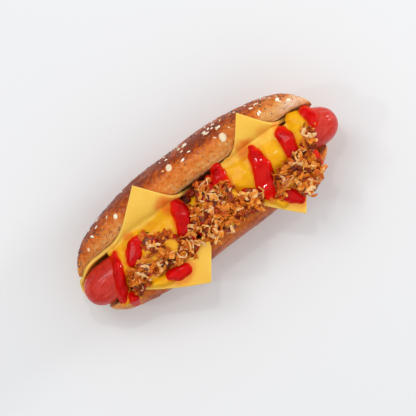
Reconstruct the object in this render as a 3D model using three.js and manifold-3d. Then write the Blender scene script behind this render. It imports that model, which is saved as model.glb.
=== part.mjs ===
// A loaded hot dog: a seeded bun cut along its length, two cheese slices folded down into the cut,
// a long sausage, stripes of ketchup and mustard, and crisp fried onions on top.
// Millimetres. +X runs along the bun, +Y points to the seeded lobe, +Z is up. The origin is the middle
// of the bounding box, on the table.

import * as THREE from "three";
import { ParametricGeometry } from "three/addons/geometries/ParametricGeometry.js";
import { mergeVertices } from "three/addons/utils/BufferGeometryUtils.js";
import Module from "manifold-3d";

const wasm = await Module();
wasm.setup();

// ---- Driving dimensions ----
const BUN_LOBES = {
  left: { centre: -2, halfLength: 96.5 }, // the +Y lobe, the seeded one
  right: { centre: -4, halfLength: 90 }, // the -Y lobe
};
// Exponents of the outline of each lobe's -X and +X ends.
const BUN_ROUNDNESS = { left: { back: 2.05, front: 2.3 }, right: { back: 2.4, front: 2.3 } };
// Over the last part of its length, from this share on, each lobe's end draws in to the sausage, by a share
// of its distance from the middle.
const BUN_PINCH = { from: 0.85, left: 0.34, right: 0.15 };
const BUN_TUCK = 9; // how much shorter the bun is along its bottom than along its crests, at each end
const BUN_SWELL = { x: -60, length: 20, height: 3.2 }; // a fuller stretch of the right lobe's crust
const SAUSAGE_HALF_LENGTH = 103;
const SAUSAGE_RADIUS = 13.3;
const SAUSAGE_CAP = 17; // length of each rounded end
const SAUSAGE_AXIS = { y: -3, z: 33.4 };
const SAUSAGE_BEND = { y: -2.2, z: 1.6 }; // how far its ends, at x = 100, are off that axis
const CHEESE_THICKNESS = 2.6;
const GAP = 0.8; // air left under each slice
const CLEARANCE = 0.3; // how far a piece is grown before its neighbours are cut by it
const ONION_CLEARANCE = 0.7; // the same for the onions
const SMOOTHING = 0.16; // detail finer than this is left out

// The bun's cross-section, from the right lobe's crest down through the cut to the left lobe's crest, and
// back round the outside. Each row pairs a point of the cut wall with the crust point behind it, and with
// the point of the rounded end that both run into. Coordinates are [y, z].
const BUN_CRESTS = {
  right: { full: [-27, 45.5], nose: [-21.8, 33] },
  left: { full: [28.5, 52], nose: [14.4, 36.2] },
};
const BUN_WALLS = [
  { cut: [-22.2, 43.2], crust: [-32.2, 38], nose: [-21.5, 31] },
  { cut: [-20.6, 35], crust: [-33.9, 22], nose: [-20.8, 27] },
  { cut: [-18.8, 23.5], crust: [-28.5, 8], nose: [-18, 22.4] },
  { cut: [-11.5, 13.4], crust: [-14, 0], nose: [-12, 19] },
  { cut: [-3, 11.2], crust: [1, -0.4], nose: [-4, 18] },
  { cut: [5.4, 13.2], crust: [17, 0], nose: [3.6, 19] },
  { cut: [12.4, 22.5], crust: [33.5, 8.5], nose: [9.8, 22.8] },
  { cut: [14.4, 34.5], crust: [40.5, 24], nose: [12.4, 28.4] },
  { cut: [15.6, 45.8], crust: [39.8, 37.5], nose: [13, 32.4] },
  { cut: [19.8, 50.8], crust: [35.7, 46.8], nose: [13.6, 34.8] },
];

// The slices' corners [x, q]: outer left, end at +X, outer right, end at -X, where q is the distance from
// the bottom of the cut along the slice. The -X end's two edges bulge by [x, q], the one to the outer
// right corner at its middle and the one to the outer left corner near the end.
const LEFT_SLICE = {
  corners: [[-33.8, 67.5], [20, 0], [-30.2, -66], [-103.5, 3]],
  bulge: { right: [-4, -6], left: [0, 12] },
};
const RIGHT_SLICE = {
  corners: [[50.3, 63.5], [92, 0], [48, -65.4], [-6, 0]],
  bulge: { right: [-2.5, -1.5], left: [0, 0] },
};
const CHEESE_CELLS = 14; // facets along each edge of a slice

// Sauce stripes over the sausage, as [x, y] points seen from above, with their width and height.
const KETCHUP = [
  { width: 7.6, height: 3.6, line: [[-69.5, 7.6], [-75, -1.5], [-79.5, -11], [-84.5, -18.5]] },
  { width: 14, height: 3.4, line: [[-57, 7.6], [-59, 1], [-61.5, -7]] },
  { width: 13, height: 3.8, line: [[-17.5, 7.4], [-23, -4], [-28, -13]] },
  { width: 9, height: 3.6, line: [[15.5, 8], [14, 1], [9.5, -9]] },
  { width: 13, height: 3.8, line: [[43, 7.6], [40, -3.5], [35, -14]] },
  { width: 10, height: 3.8, line: [[68, 6.8], [66, -5], [62, -14]] },
  { width: 8, height: 3, line: [[90, 5.4], [85, 0.5], [79, -8]] },
];
const MUSTARD = [
  { width: 3, height: 4.6, line: [[-66, 6.5], [-69.5, -2], [-74.5, -12], [-81, -20.5]] },
  { width: 9.6, height: 4.4, line: [[81, 12.5], [79, 7], [76.5, 0]] },
  { width: 3.4, height: 5, line: [[73.5, 6], [72, -5], [70, -13.5]] },
];
const STRIPE_SINK = 1.1; // how deep a stripe sits in what it lies on

// The coat of mustard that the stripes lie on: its ends, its thickness, and how far it reaches down
// each side of the sausage, as an angle from the top.
const COAT = { from: -70, to: 77, thickness: 1.3, reach: 0.9 };

// Blobs of sauce on the slices' outer corners and on the bun, as flattened balls [x, y, z, rx, ry, rz].
const LEFT_CHEESE_SAUCE = [[-42.5, -28.5, 47.4, 8, 5, 2.2], [-57, -26.5, 46.6, 6, 4.6, 2]];
const RIGHT_CHEESE_SAUCE = [[52, -33, 47, 7, 6, 2.4], [41, -31, 47.4, 5, 4, 2], [56, -38, 46, 5, 4, 2]];
const BUN_SAUCE = [[-79, -26, 39.4, 4.8, 5, 2.4]];

// Fried onions: each heap's core is a few flattened balls [x, y, z, rx, ry, rz].
const ONION_HEAPS = {
  onions_left: {
    seed: 11,
    pieces: 10,
    core: [
      [-69, -15.5, 45, 6.5, 8.5, 5], [-59, -14, 46.5, 8, 10, 5], [-48, -8, 47.5, 9, 14, 5],
      [-37, -12, 47, 8.5, 13, 5], [-26, -17.5, 46, 6.5, 8, 5],
    ],
  },
  onions_middle: {
    seed: 22,
    pieces: 13,
    core: [
      [-10, -11, 47, 8.5, 14, 5.5], [2, -4, 48, 9.5, 16.5, 6], [13, -11, 47.5, 8.5, 15, 5.5],
      [3, -20, 46.5, 10, 7, 5.5], [24, -18, 46.5, 7.5, 10, 5.5],
    ],
  },
  onions_right: {
    seed: 33,
    pieces: 11,
    core: [
      [52, -20, 47, 8, 8, 5.5], [62, -22, 47.5, 9.5, 11, 6], [60, -33, 46.5, 9, 6, 5],
      [70, -25, 45.5, 6.5, 9.5, 5.5], [74, -12, 46, 6, 6, 4], [80, -6, 46.8, 5.5, 6.5, 3.5],
      [42, -25, 47.5, 7, 5, 3.6],
    ],
  },
};
// Seeds on the left lobe: larger white flakes [x, y, width], and sesame seeds spread between x and y
// limits, a share of them gathered in one stretch. None lies by a flap, a triangle seen from above that
// widens from its tip by back and front for each millimetre.
const WHITE_FLAKES = [
  [-7.4, 32.2, 6], [33.5, 26.8, 6.6], [-55, 27.4, 4.2], [10, 38.2, 4.6], [77.6, 25.6, 3.6], [83.5, 20.4, 3.4],
];
const SESAME = {
  seed: 5, count: 42, gathered: 0.4, gatheredX: [22, 62], x: [-84, 86], y: [27, 39.4], size: [1.8, 1.15, 0.7],
};
const SEEDED_AROUND = [0.43, 0.63]; // the part of the section that the seeds lie on
const FLAPS = [
  { tip: [-33.5, 38.4], back: 1.35, front: 0.87, margin: 3 },
  { tip: [50.2, 34.8], back: 1.15, front: 0.8, margin: 3 },
];

const ONION_PIECE = { length: [8, 14], width: [2.6, 4.4], thickness: 1.5, curl: [0.6, 2.4] };

// ---- Small helpers ----
// Numbers from 0 to 1 that are the same every time for the same seed.
function seededRandom(seed) {
  let state = seed;
  return () => {
    state = (state + 0x6d2b79f5) | 0;
    let mixed = Math.imul(state ^ (state >>> 15), 1 | state);
    mixed = (mixed + Math.imul(mixed ^ (mixed >>> 7), 61 | mixed)) ^ mixed;
    return ((mixed ^ (mixed >>> 14)) >>> 0) / 4294967296;
  };
}

const between = (random, [low, high]) => low + (high - low) * random();
const mix = (a, b, share) => a.map((value, i) => value + (b[i] - value) * share);

// Welds a geometry's vertices, and drops the triangles that the welding closed up.
function weld(geometry) {
  const bare = new THREE.BufferGeometry();
  bare.setAttribute("position", geometry.getAttribute("position"));
  bare.setIndex(geometry.index);
  const merged = mergeVertices(bare, 1e-3);
  const kept = [];
  for (let i = 0; i < merged.index.count; i += 3) {
    const [a, b, c] = [0, 1, 2].map((k) => merged.index.getX(i + k));
    if (a !== b && b !== c && c !== a) kept.push(a, b, c);
  }
  merged.setIndex(kept);
  return merged;
}

function toSolid(geometry) {
  const welded = weld(geometry);
  return new wasm.Manifold(
    new wasm.Mesh({
      numProp: 3,
      vertProperties: new Float32Array(welded.attributes.position.array),
      triVerts: new Uint32Array(welded.index.array),
    }),
  );
}

function toGeometry(solid) {
  const mesh = solid.getMesh();
  const geometry = new THREE.BufferGeometry();
  geometry.setAttribute("position", new THREE.BufferAttribute(mesh.vertProperties, 3));
  geometry.setIndex(new THREE.BufferAttribute(mesh.triVerts, 1));
  geometry.computeVertexNormals();
  return geometry;
}

// The same closed surface with every vertex moved out along its normal.
function grown(geometry, distance) {
  const bigger = weld(geometry);
  bigger.computeVertexNormals();
  const position = bigger.attributes.position;
  const normal = bigger.attributes.normal;
  for (let i = 0; i < position.count; i++) {
    position.setXYZ(
      i,
      position.getX(i) + distance * normal.getX(i),
      position.getY(i) + distance * normal.getY(i),
      position.getZ(i) + distance * normal.getZ(i),
    );
  }
  return toSolid(bigger);
}

const largest = (solid) => solid.decompose().sort((a, b) => b.volume() - a.volume())[0];

// A solid without its finest detail, and without the crumbs that leaving it out cuts off.
const smoothed = (solid) => largest(toSolid(toGeometry(solid.simplify(SMOOTHING))));
const joined = (solids) => solids.reduce((sum, solid) => sum.add(solid));

function ball([x, y, z, rx, ry, rz], extra = 0) {
  const geometry = new THREE.SphereGeometry(1, 8, 6);
  geometry.scale(rx + extra, ry + extra, rz + extra);
  geometry.translate(x, y, z);
  return toSolid(geometry);
}

// ---- Bun ----
// Gentle lumps of the crust, added outwards.
const lumps = (x, y, z) =>
  0.45 * Math.sin(x / 13 + z / 19) * Math.sin(y / 11 + 1) + 0.3 * Math.sin(x / 7.3 - z / 9 + 2);

const LEFT_CREST = 0.5; // the left crest's place round the section, half a turn from the right one's

// The middle and half length of the strip of the bun's surface at around, which is 0 at the right crest.
function bunStrip(around) {
  const leftness = 0.5 - 0.5 * Math.cos(around * 2 * Math.PI);
  const { left, right } = BUN_LOBES;
  const centre = right.centre + leftness * (left.centre - right.centre);
  const longest = right.halfLength + leftness * (left.halfLength - right.halfLength);
  return { centre, halfLength: longest - BUN_TUCK * Math.sin(around * 2 * Math.PI) ** 4 };
}

// The section at share along each strip, -1 to 1, as a closed curve of (0, y, z) through the right crest,
// the cut, the left crest and the crust.
function bunSection(share) {
  const size = Math.min(1, Math.abs(share));
  const pinched = THREE.MathUtils.smoothstep(size, BUN_PINCH.from, 1);
  const at = (full, [noseY, noseZ]) => {
    const lobe = noseY > 0 ? "left" : "right";
    const power = BUN_ROUNDNESS[lobe][share < 0 ? "back" : "front"];
    const fullness = (1 - size ** power) ** (1 / power);
    return new THREE.Vector3(0, ...mix([noseY * (1 - BUN_PINCH[lobe] * pinched), noseZ], full, fullness));
  };
  const points = [
    at(BUN_CRESTS.right.full, BUN_CRESTS.right.nose),
    ...BUN_WALLS.map((row) => at(row.cut, row.nose)),
    at(BUN_CRESTS.left.full, BUN_CRESTS.left.nose),
    ...BUN_WALLS.map((row) => at(row.crust, row.nose)).reverse(),
  ];
  return new THREE.CatmullRomCurve3(points, true, "catmullrom", 0.5);
}

// A point of the bun: share runs from -1 to 1 along it, around from 0 to 1 as in bunSection.
function bunPoint(share, around, target) {
  const { centre, halfLength } = bunStrip(around);
  target.copy(bunSection(share).getPoint(around % 1));
  target.x = centre + halfLength * share;
  if (around > LEFT_CREST) {
    const fade = Math.sin(((around - LEFT_CREST) / (1 - LEFT_CREST)) * Math.PI) * (1 - share ** 4);
    const swell = Math.exp(-(((target.x - BUN_SWELL.x) / BUN_SWELL.length) ** 2)) * BUN_SWELL.height;
    const outwards = lumps(target.x, target.y, target.z) + (target.y < 0 ? swell : 0);
    target.y += Math.sign(target.y) * fade * outwards;
  }
  target.z = Math.max(target.z, 0);
  return target;
}

const bunBody = new ParametricGeometry(
  (around, along, target) => bunPoint(Math.sin((0.5 - along) * Math.PI), around, target),
  44,
  20,
);

// The place round the section of the left lobe's surface at [x, y] seen from above.
function aroundAt(x, y) {
  let [low, high] = SEEDED_AROUND;
  const point = new THREE.Vector3();
  for (let i = 0; i < 20; i++) {
    const middle = (low + high) / 2;
    const { centre, halfLength } = bunStrip(middle);
    if (bunPoint((x - centre) / halfLength, middle, point).y < y) low = middle;
    else high = middle;
  }
  return low;
}

// Whether a slice's flap covers [x, y] seen from above, or comes near it.
const underFlap = (x, y) =>
  FLAPS.some(({ tip, back, front, margin }) => {
    const down = tip[1] + margin - y;
    return down > 0 && x > tip[0] - margin - down * back && x < tip[0] + margin + down * front;
  });

// The seeds' places [x, y] seen from above with their half sizes: white flakes and sesame seeds.
function seedPlaces() {
  const random = seededRandom(SESAME.seed);
  const places = WHITE_FLAKES.map(([x, y, size]) => ({ x, y, size: [size / 2, size * 0.42, 0.9] }));
  for (let i = 0; i < SESAME.count; i++) {
    const gathered = random() < SESAME.gathered;
    const x = gathered ? between(random, SESAME.gatheredX) : between(random, SESAME.x);
    const y = SESAME.y[1] + (SESAME.y[0] - SESAME.y[1]) * random() ** 1.6 - 10 * (Math.abs(x) / 90) ** 3;
    if (!underFlap(x, y)) places.push({ x, y, size: SESAME.size });
  }
  return places.map((place) => ({ ...place, turn: random() * Math.PI }));
}

// A seed lying on the crust.
function seedAt({ x, y, size, turn }) {
  const around = aroundAt(x, y);
  const { centre, halfLength } = bunStrip(around);
  const along = (x - centre) / halfLength;
  const here = bunPoint(along, around, new THREE.Vector3());
  const ahead = bunPoint(along + 0.01, around, new THREE.Vector3()).sub(here);
  const aside = bunPoint(along, around + 0.004, new THREE.Vector3()).sub(here);
  const outward = new THREE.Vector3().crossVectors(aside, ahead).normalize();
  const seed = new THREE.OctahedronGeometry(1.1, 0);
  seed.scale(...size);
  seed.rotateZ(turn);
  seed.applyQuaternion(new THREE.Quaternion().setFromUnitVectors(new THREE.Vector3(0, 0, 1), outward));
  return toSolid(seed.translate(here.x, here.y, here.z));
}

// ---- Cheese ----
// The line that a slice follows across the bun at x, as { y, z } for each distance along it. Distance 0
// is the bottom of the cut, positive up the left wall and out over the left lobe, negative to the right.
const BOTTOM_SHARE = 5 / (BUN_WALLS.length + 1); // the bottom's place along the cut
const FLAP_SLOPE = 0.1; // how steeply the line is falling where it leaves each lobe's crest
const FLAP_REACH = 36; // how far it goes on from there
const FLAP_DROOP = { left: 0.006, right: 0.012 }; // how much it bends down with each millimetre there
function cheeseLine(x, lift) {
  const samples = 88;
  const offset = GAP + CHEESE_THICKNESS / 2 + lift;
  const sectionPoint = (around) => {
    const { centre, halfLength } = bunStrip(around);
    const { y, z } = bunSection((x - centre) / halfLength).getPoint(around);
    return new THREE.Vector2(y, z);
  };
  const points = [];
  let bottom = FLAP_REACH;
  for (let i = 0; i <= samples; i++) {
    const around = (LEFT_CREST * i) / samples;
    const tangent = sectionPoint(around + 0.002).sub(sectionPoint((around + 0.998) % 1)).normalize();
    const rightSide = i < samples * BOTTOM_SHARE;
    const fallsOutside = rightSide ? tangent.y > FLAP_SLOPE : tangent.y < -FLAP_SLOPE;
    if (fallsOutside) continue;
    const p = sectionPoint(around);
    points.push(new THREE.Vector2(p.x - tangent.y * offset, p.y + tangent.x * offset));
    if (rightSide) bottom++;
  }
  const flap = (from, before, droop) => {
    const step = from.clone().sub(before).normalize();
    const added = [];
    for (let i = 0; i < FLAP_REACH; i++) {
      step.y -= droop;
      step.normalize();
      added.push((added[i - 1] ?? from).clone().add(step));
    }
    return added;
  };
  const right = flap(points[0], points[1], FLAP_DROOP.right).reverse();
  const left = flap(points.at(-1), points.at(-2), FLAP_DROOP.left);
  const line = [...right, ...points, ...left];
  const reach = [0];
  for (let i = 1; i < line.length; i++) reach.push(reach[i - 1] + line[i].distanceTo(line[i - 1]));
  return (q) => {
    const s = q + reach[bottom];
    let i = 1;
    while (i < line.length - 1 && reach[i] < s) i++;
    const p = line[i - 1].clone().lerp(line[i], (s - reach[i - 1]) / (reach[i] - reach[i - 1]));
    const tangent = line[Math.min(i + 1, line.length - 1)].clone().sub(line[Math.max(i - 2, 0)]);
    tangent.normalize();
    return { y: p.x, z: p.y, normal: [-tangent.y, tangent.x] };
  };
}

// A slice laid along the cheese line, raised by lift(x, q).
function cheeseSlice({ corners, bulge }, lift) {
  const geometry = new THREE.BoxGeometry(1, 1, 1, CHEESE_CELLS, CHEESE_CELLS, 1);
  const position = geometry.attributes.position;
  for (let i = 0; i < position.count; i++) {
    const a = position.getX(i) + 0.5;
    const b = position.getY(i) + 0.5;
    const rightSwell = 4 * a * (1 - a) * (1 - b) ** 2;
    const leftSwell = 17.6 * b * (1 - b) ** 6 * (1 - a) ** 2;
    const [flatX, flatQ] = mix(mix(corners[3], corners[2], a), mix(corners[0], corners[1], a), b);
    const x = flatX + bulge.right[0] * rightSwell + bulge.left[0] * leftSwell;
    const q = flatQ + bulge.right[1] * rightSwell + bulge.left[1] * leftSwell;
    const { y, z, normal } = cheeseLine(x, lift(x, q))(q);
    const out = position.getZ(i) * CHEESE_THICKNESS;
    position.setXYZ(i, x, y + normal[0] * out, z + normal[1] * out);
  }
  return weld(geometry);
}

// The right slice's end rides up over the left slice's, under the sausage.
const overlapLift = (x, q) =>
  (CHEESE_THICKNESS + GAP) *
  THREE.MathUtils.smoothstep(LEFT_SLICE.corners[1][0] - x - 0.9 * Math.abs(q), -8, -1);

// ---- Sausage and sauces ----
function sausageAxis(x) {
  return {
    y: SAUSAGE_AXIS.y + SAUSAGE_BEND.y * (x / 100) ** 2,
    z: SAUSAGE_AXIS.z + SAUSAGE_BEND.z * (x / 100) ** 2,
  };
}

function sausageRadius(x) {
  const into = Math.max(0, Math.abs(x) - (SAUSAGE_HALF_LENGTH - SAUSAGE_CAP)) / SAUSAGE_CAP;
  return SAUSAGE_RADIUS * Math.sqrt(Math.max(0, 1 - into ** 2.2));
}

function sausageBody(extra) {
  const reach = SAUSAGE_HALF_LENGTH + extra;
  return new ParametricGeometry(
    (around, along, target) => {
      const phi = (along - 0.5) * Math.PI;
      const x = reach * (0.55 * Math.sin(phi) + (0.45 * phi) / (Math.PI / 2));
      const { y, z } = sausageAxis(x);
      const shown = Math.min(Math.abs(x), SAUSAGE_HALF_LENGTH) * (SAUSAGE_HALF_LENGTH / reach);
      const radius = Math.abs(along - 0.5) === 0.5 ? 0 : sausageRadius(shown) + extra;
      const angle = around * 2 * Math.PI;
      target.set(x, y + radius * Math.cos(angle), z + radius * Math.sin(angle));
    },
    20,
    24,
  );
}

// The height of the sausage's top at [x, y], carried on level past its sides.
function sausageTop(x, y) {
  const axis = sausageAxis(x);
  const aside = Math.min(Math.abs(y - axis.y), 0.86 * SAUSAGE_RADIUS);
  return axis.z + Math.sqrt(SAUSAGE_RADIUS ** 2 - aside ** 2);
}

// One stripe: a flattened tube over the sausage with round ends.
function stripe({ line, width, height }, extra) {
  const curve = new THREE.CatmullRomCurve3(line.map(([x, y]) => new THREE.Vector3(x, y, 0)));
  const lifted = (share) => {
    const p = curve.getPoint(THREE.MathUtils.clamp(share, 0, 1));
    p.z = sausageTop(p.x, p.y) + height / 2 - STRIPE_SINK;
    return p;
  };
  return new ParametricGeometry(
    (around, along, target) => {
      const centre = lifted(along);
      const ahead = lifted(along + 0.02).sub(lifted(along - 0.02)).normalize();
      const side = new THREE.Vector3(-ahead.y, ahead.x, 0).normalize();
      const up = new THREE.Vector3().crossVectors(ahead, side).normalize();
      const taper = Math.sqrt(Math.max(0, 1 - Math.abs(2 * along - 1) ** 5));
      const angle = around * 2 * Math.PI;
      target.copy(centre);
      target.addScaledVector(side, taper * (width / 2 + extra) * Math.cos(angle));
      target.addScaledVector(up, taper * (height / 2 + extra) * Math.sin(angle));
    },
    8,
    6,
  );
}

// The mustard coat: a shell over the sausage's top that thins out to its edges.
function coat(extra) {
  const half = (COAT.to - COAT.from) / 2;
  return new ParametricGeometry(
    (around, along, target) => {
      const share = -Math.cos(along * Math.PI);
      const x = (COAT.from + COAT.to) / 2 + (half + extra) * share;
      const { y, z } = sausageAxis(x);
      const turn = around * 2 * Math.PI;
      const spread = Math.max(0, 1 - share ** 2) ** 0.2;
      const lean = (COAT.reach + extra / SAUSAGE_RADIUS) * spread * Math.cos(turn);
      const rise = Math.sin(turn) > 0 ? COAT.thickness + extra : -COAT.thickness;
      const radius = SAUSAGE_RADIUS + rise * Math.abs(Math.sin(turn)) ** 0.5 * spread;
      target.set(x, y + radius * Math.sin(lean), z + radius * Math.cos(lean));
    },
    14,
    12,
  );
}

function sausageWithSauce(extra) {
  const stripes = [...KETCHUP, ...MUSTARD].map((one) => toSolid(stripe(one, extra)));
  return joined([toSolid(sausageBody(extra)), toSolid(coat(extra)), ...stripes]);
}

// ---- Fried onions ----
// One curled shred, as a bent strip.
function onionPiece(random) {
  const length = between(random, ONION_PIECE.length);
  const width = between(random, ONION_PIECE.width);
  const curl = between(random, ONION_PIECE.curl);
  const geometry = new THREE.BoxGeometry(1, 1, 1, 2, 1, 1);
  const position = geometry.attributes.position;
  for (let i = 0; i < position.count; i++) {
    const angle = position.getX(i) * curl;
    const radius = length / curl + position.getZ(i) * ONION_PIECE.thickness;
    const taper = 1 - 0.5 * Math.abs(position.getX(i));
    position.setXYZ(
      i,
      radius * Math.sin(angle),
      position.getY(i) * width * taper,
      radius * Math.cos(angle) - length / curl,
    );
  }
  return geometry;
}

function onionHeap({ seed, pieces, core }) {
  const random = seededRandom(seed);
  const parts = core.map((one) => ball(one));
  for (let i = 0; i < pieces; i++) {
    const [x, y, z, rx, ry, rz] = core[i % core.length];
    const turn = random() * 2 * Math.PI;
    const lean = 0.15 + 0.95 * Math.sqrt(random());
    const place = new THREE.Vector3(
      Math.cos(turn) * Math.sin(lean) * rx,
      Math.sin(turn) * Math.sin(lean) * ry,
      Math.cos(lean) * rz,
    );
    const piece = onionPiece(random);
    piece.rotateX((random() - 0.5) * 1.2);
    piece.rotateY((random() - 0.5) * 1.0);
    piece.rotateZ(random() * Math.PI * 2);
    piece.translate(x + place.x, y + place.y, z + place.z + 0.3);
    parts.push(toSolid(piece));
  }
  return joined(parts);
}

// ---- Assembly ----
const leftSlice = cheeseSlice(LEFT_SLICE, () => 0);
const rightSlice = cheeseSlice(RIGHT_SLICE, overlapLift);

// The room that a piece and the sauce on it take up, with some air round it.
const roomOf = (geometry, sauce, air) =>
  joined([grown(geometry, air), ...sauce.map((one) => ball(one, air))]);
const bunRoom = roomOf(bunBody, BUN_SAUCE, CLEARANCE);
const leftRoom = roomOf(leftSlice, LEFT_CHEESE_SAUCE, CLEARANCE);
const rightRoom = roomOf(rightSlice, RIGHT_CHEESE_SAUCE, CLEARANCE);

const topped = (geometry, sauce) => joined([toSolid(geometry), ...sauce.map((one) => ball(one))]);
const leftCheese = smoothed(topped(leftSlice, LEFT_CHEESE_SAUCE).subtract(bunRoom));
const rightCheese = smoothed(topped(rightSlice, RIGHT_CHEESE_SAUCE).subtract(bunRoom).subtract(leftRoom));
const sausage = smoothed(
  sausageWithSauce(0).subtract(bunRoom).subtract(leftRoom).subtract(rightRoom),
);

const bun = joined([topped(bunBody, BUN_SAUCE), ...seedPlaces().map(seedAt)]);

const hotDog = new THREE.Group();
function addPiece(name, solid, look) {
  const mesh = new THREE.Mesh(toGeometry(solid), new THREE.MeshStandardMaterial({ ...look, metalness: 0 }));
  mesh.name = name;
  hotDog.add(mesh);
}

addPiece("bun", bun, { color: 0xa9602c, roughness: 0.5 });
addPiece("cheese_slice_left", leftCheese, { color: 0xf2bd45, roughness: 0.45 });
addPiece("cheese_slice_right", rightCheese, { color: 0xf2bd45, roughness: 0.45 });
addPiece("sausage", sausage, { color: 0xb5433a, roughness: 0.35 });

let taken = joined([
  roomOf(bunBody, BUN_SAUCE, ONION_CLEARANCE),
  roomOf(leftSlice, LEFT_CHEESE_SAUCE, ONION_CLEARANCE),
  roomOf(rightSlice, RIGHT_CHEESE_SAUCE, ONION_CLEARANCE),
  sausageWithSauce(ONION_CLEARANCE),
]);
for (const [name, heap] of Object.entries(ONION_HEAPS)) {
  const solid = smoothed(onionHeap(heap).subtract(taken));
  addPiece(name, solid, { color: 0xb8702c, roughness: 0.75 });
  taken = taken.add(grown(toGeometry(solid), ONION_CLEARANCE));
}

// Move the origin to the middle of the footprint.
const box = new THREE.Box3().setFromObject(hotDog);
const middle = box.getCenter(new THREE.Vector3());
hotDog.position.set(-middle.x, -middle.y, -box.min.z);

export default hotDog;
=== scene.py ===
"""Looks for the hot dog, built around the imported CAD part. Shapes are worked out in millimetres in the
part's own construction frame, whose origin is the middle of the bun's cut, and moved into the row frame."""

import math

import bmesh
import bpy
import numpy as np
from mathutils import Matrix, Vector
from mathutils.bvhtree import BVHTree


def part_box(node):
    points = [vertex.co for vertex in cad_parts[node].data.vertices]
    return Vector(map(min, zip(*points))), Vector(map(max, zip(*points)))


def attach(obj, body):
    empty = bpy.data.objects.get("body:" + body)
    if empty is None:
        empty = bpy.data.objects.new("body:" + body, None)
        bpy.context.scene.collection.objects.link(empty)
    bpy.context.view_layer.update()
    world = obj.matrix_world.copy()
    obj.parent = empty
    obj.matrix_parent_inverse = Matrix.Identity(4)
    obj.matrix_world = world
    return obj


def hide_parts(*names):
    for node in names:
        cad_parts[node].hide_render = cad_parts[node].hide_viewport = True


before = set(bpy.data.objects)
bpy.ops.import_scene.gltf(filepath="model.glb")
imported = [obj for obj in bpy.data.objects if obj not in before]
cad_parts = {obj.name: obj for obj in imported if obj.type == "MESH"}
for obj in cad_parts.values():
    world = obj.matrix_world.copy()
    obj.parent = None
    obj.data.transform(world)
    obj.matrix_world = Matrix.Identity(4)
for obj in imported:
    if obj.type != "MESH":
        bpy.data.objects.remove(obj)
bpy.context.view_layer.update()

# ---- Named sizes, the same as the part's ----
BUN_LOBES = {"left": (-2.0, 96.5), "right": (-4.0, 90.0)}  # centre and half length
BUN_ROUNDNESS = {"left": (2.05, 2.3), "right": (2.4, 2.3)}  # -X end, +X end
BUN_PINCH = {"from": 0.85, "left": 0.34, "right": 0.15}
BUN_TUCK = 9  # how much shorter it is between its lobes and crust
BUN_SWELL = (-60, 20, 3.2)  # x, length, height
BUN_CRESTS = {"right": ((-27, 45.5), (-21.8, 33)), "left": ((28.5, 52), (14.4, 36.2))}  # full, nose
BUN_WALLS = [  # cut, crust, nose
    ((-22.2, 43.2), (-32.2, 38), (-21.5, 31)),
    ((-20.6, 35), (-33.9, 22), (-20.8, 27)),
    ((-18.8, 23.5), (-28.5, 8), (-18, 22.4)),
    ((-11.5, 13.4), (-14, 0), (-12, 19)),
    ((-3, 11.2), (1, -0.4), (-4, 18)),
    ((5.4, 13.2), (17, 0), (3.6, 19)),
    ((12.4, 22.5), (33.5, 8.5), (9.8, 22.8)),
    ((14.4, 34.5), (40.5, 24), (12.4, 28.4)),
    ((15.6, 45.8), (39.8, 37.5), (13, 32.4)),
    ((19.8, 50.8), (35.7, 46.8), (13.6, 34.8)),
]
SAUSAGE_HALF_LENGTH = 103
SAUSAGE_RADIUS = 13.3
SAUSAGE_CAP = 17  # length of a rounded end
SAUSAGE_AXIS = (-3, 33.4)  # y and z of its middle
SAUSAGE_BEND = (-2.2, 1.6)  # how much further they are 100 mm away
CHEESE_THICKNESS = 2.6
GAP = 0.8  # between the bun and the slices
LEFT_SLICE = {"corners": [(-33.8, 67.5), (20, 0), (-30.2, -66), (-103.5, 3)],
              "bulge": {"right": (-4, -6), "left": (0, 12)}}
RIGHT_SLICE = {"corners": [(50.3, 63.5), (92, 0), (48, -65.4), (-6, 0)],
               "bulge": {"right": (-2.5, -1.5), "left": (0, 0)}}
FLAP_SLOPE = 0.1  # the bun's slope at which a slice leaves it
FLAP_REACH = 36  # how far a flap goes on from there
FLAP_DROOP = {"left": 0.006, "right": 0.012}

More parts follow.
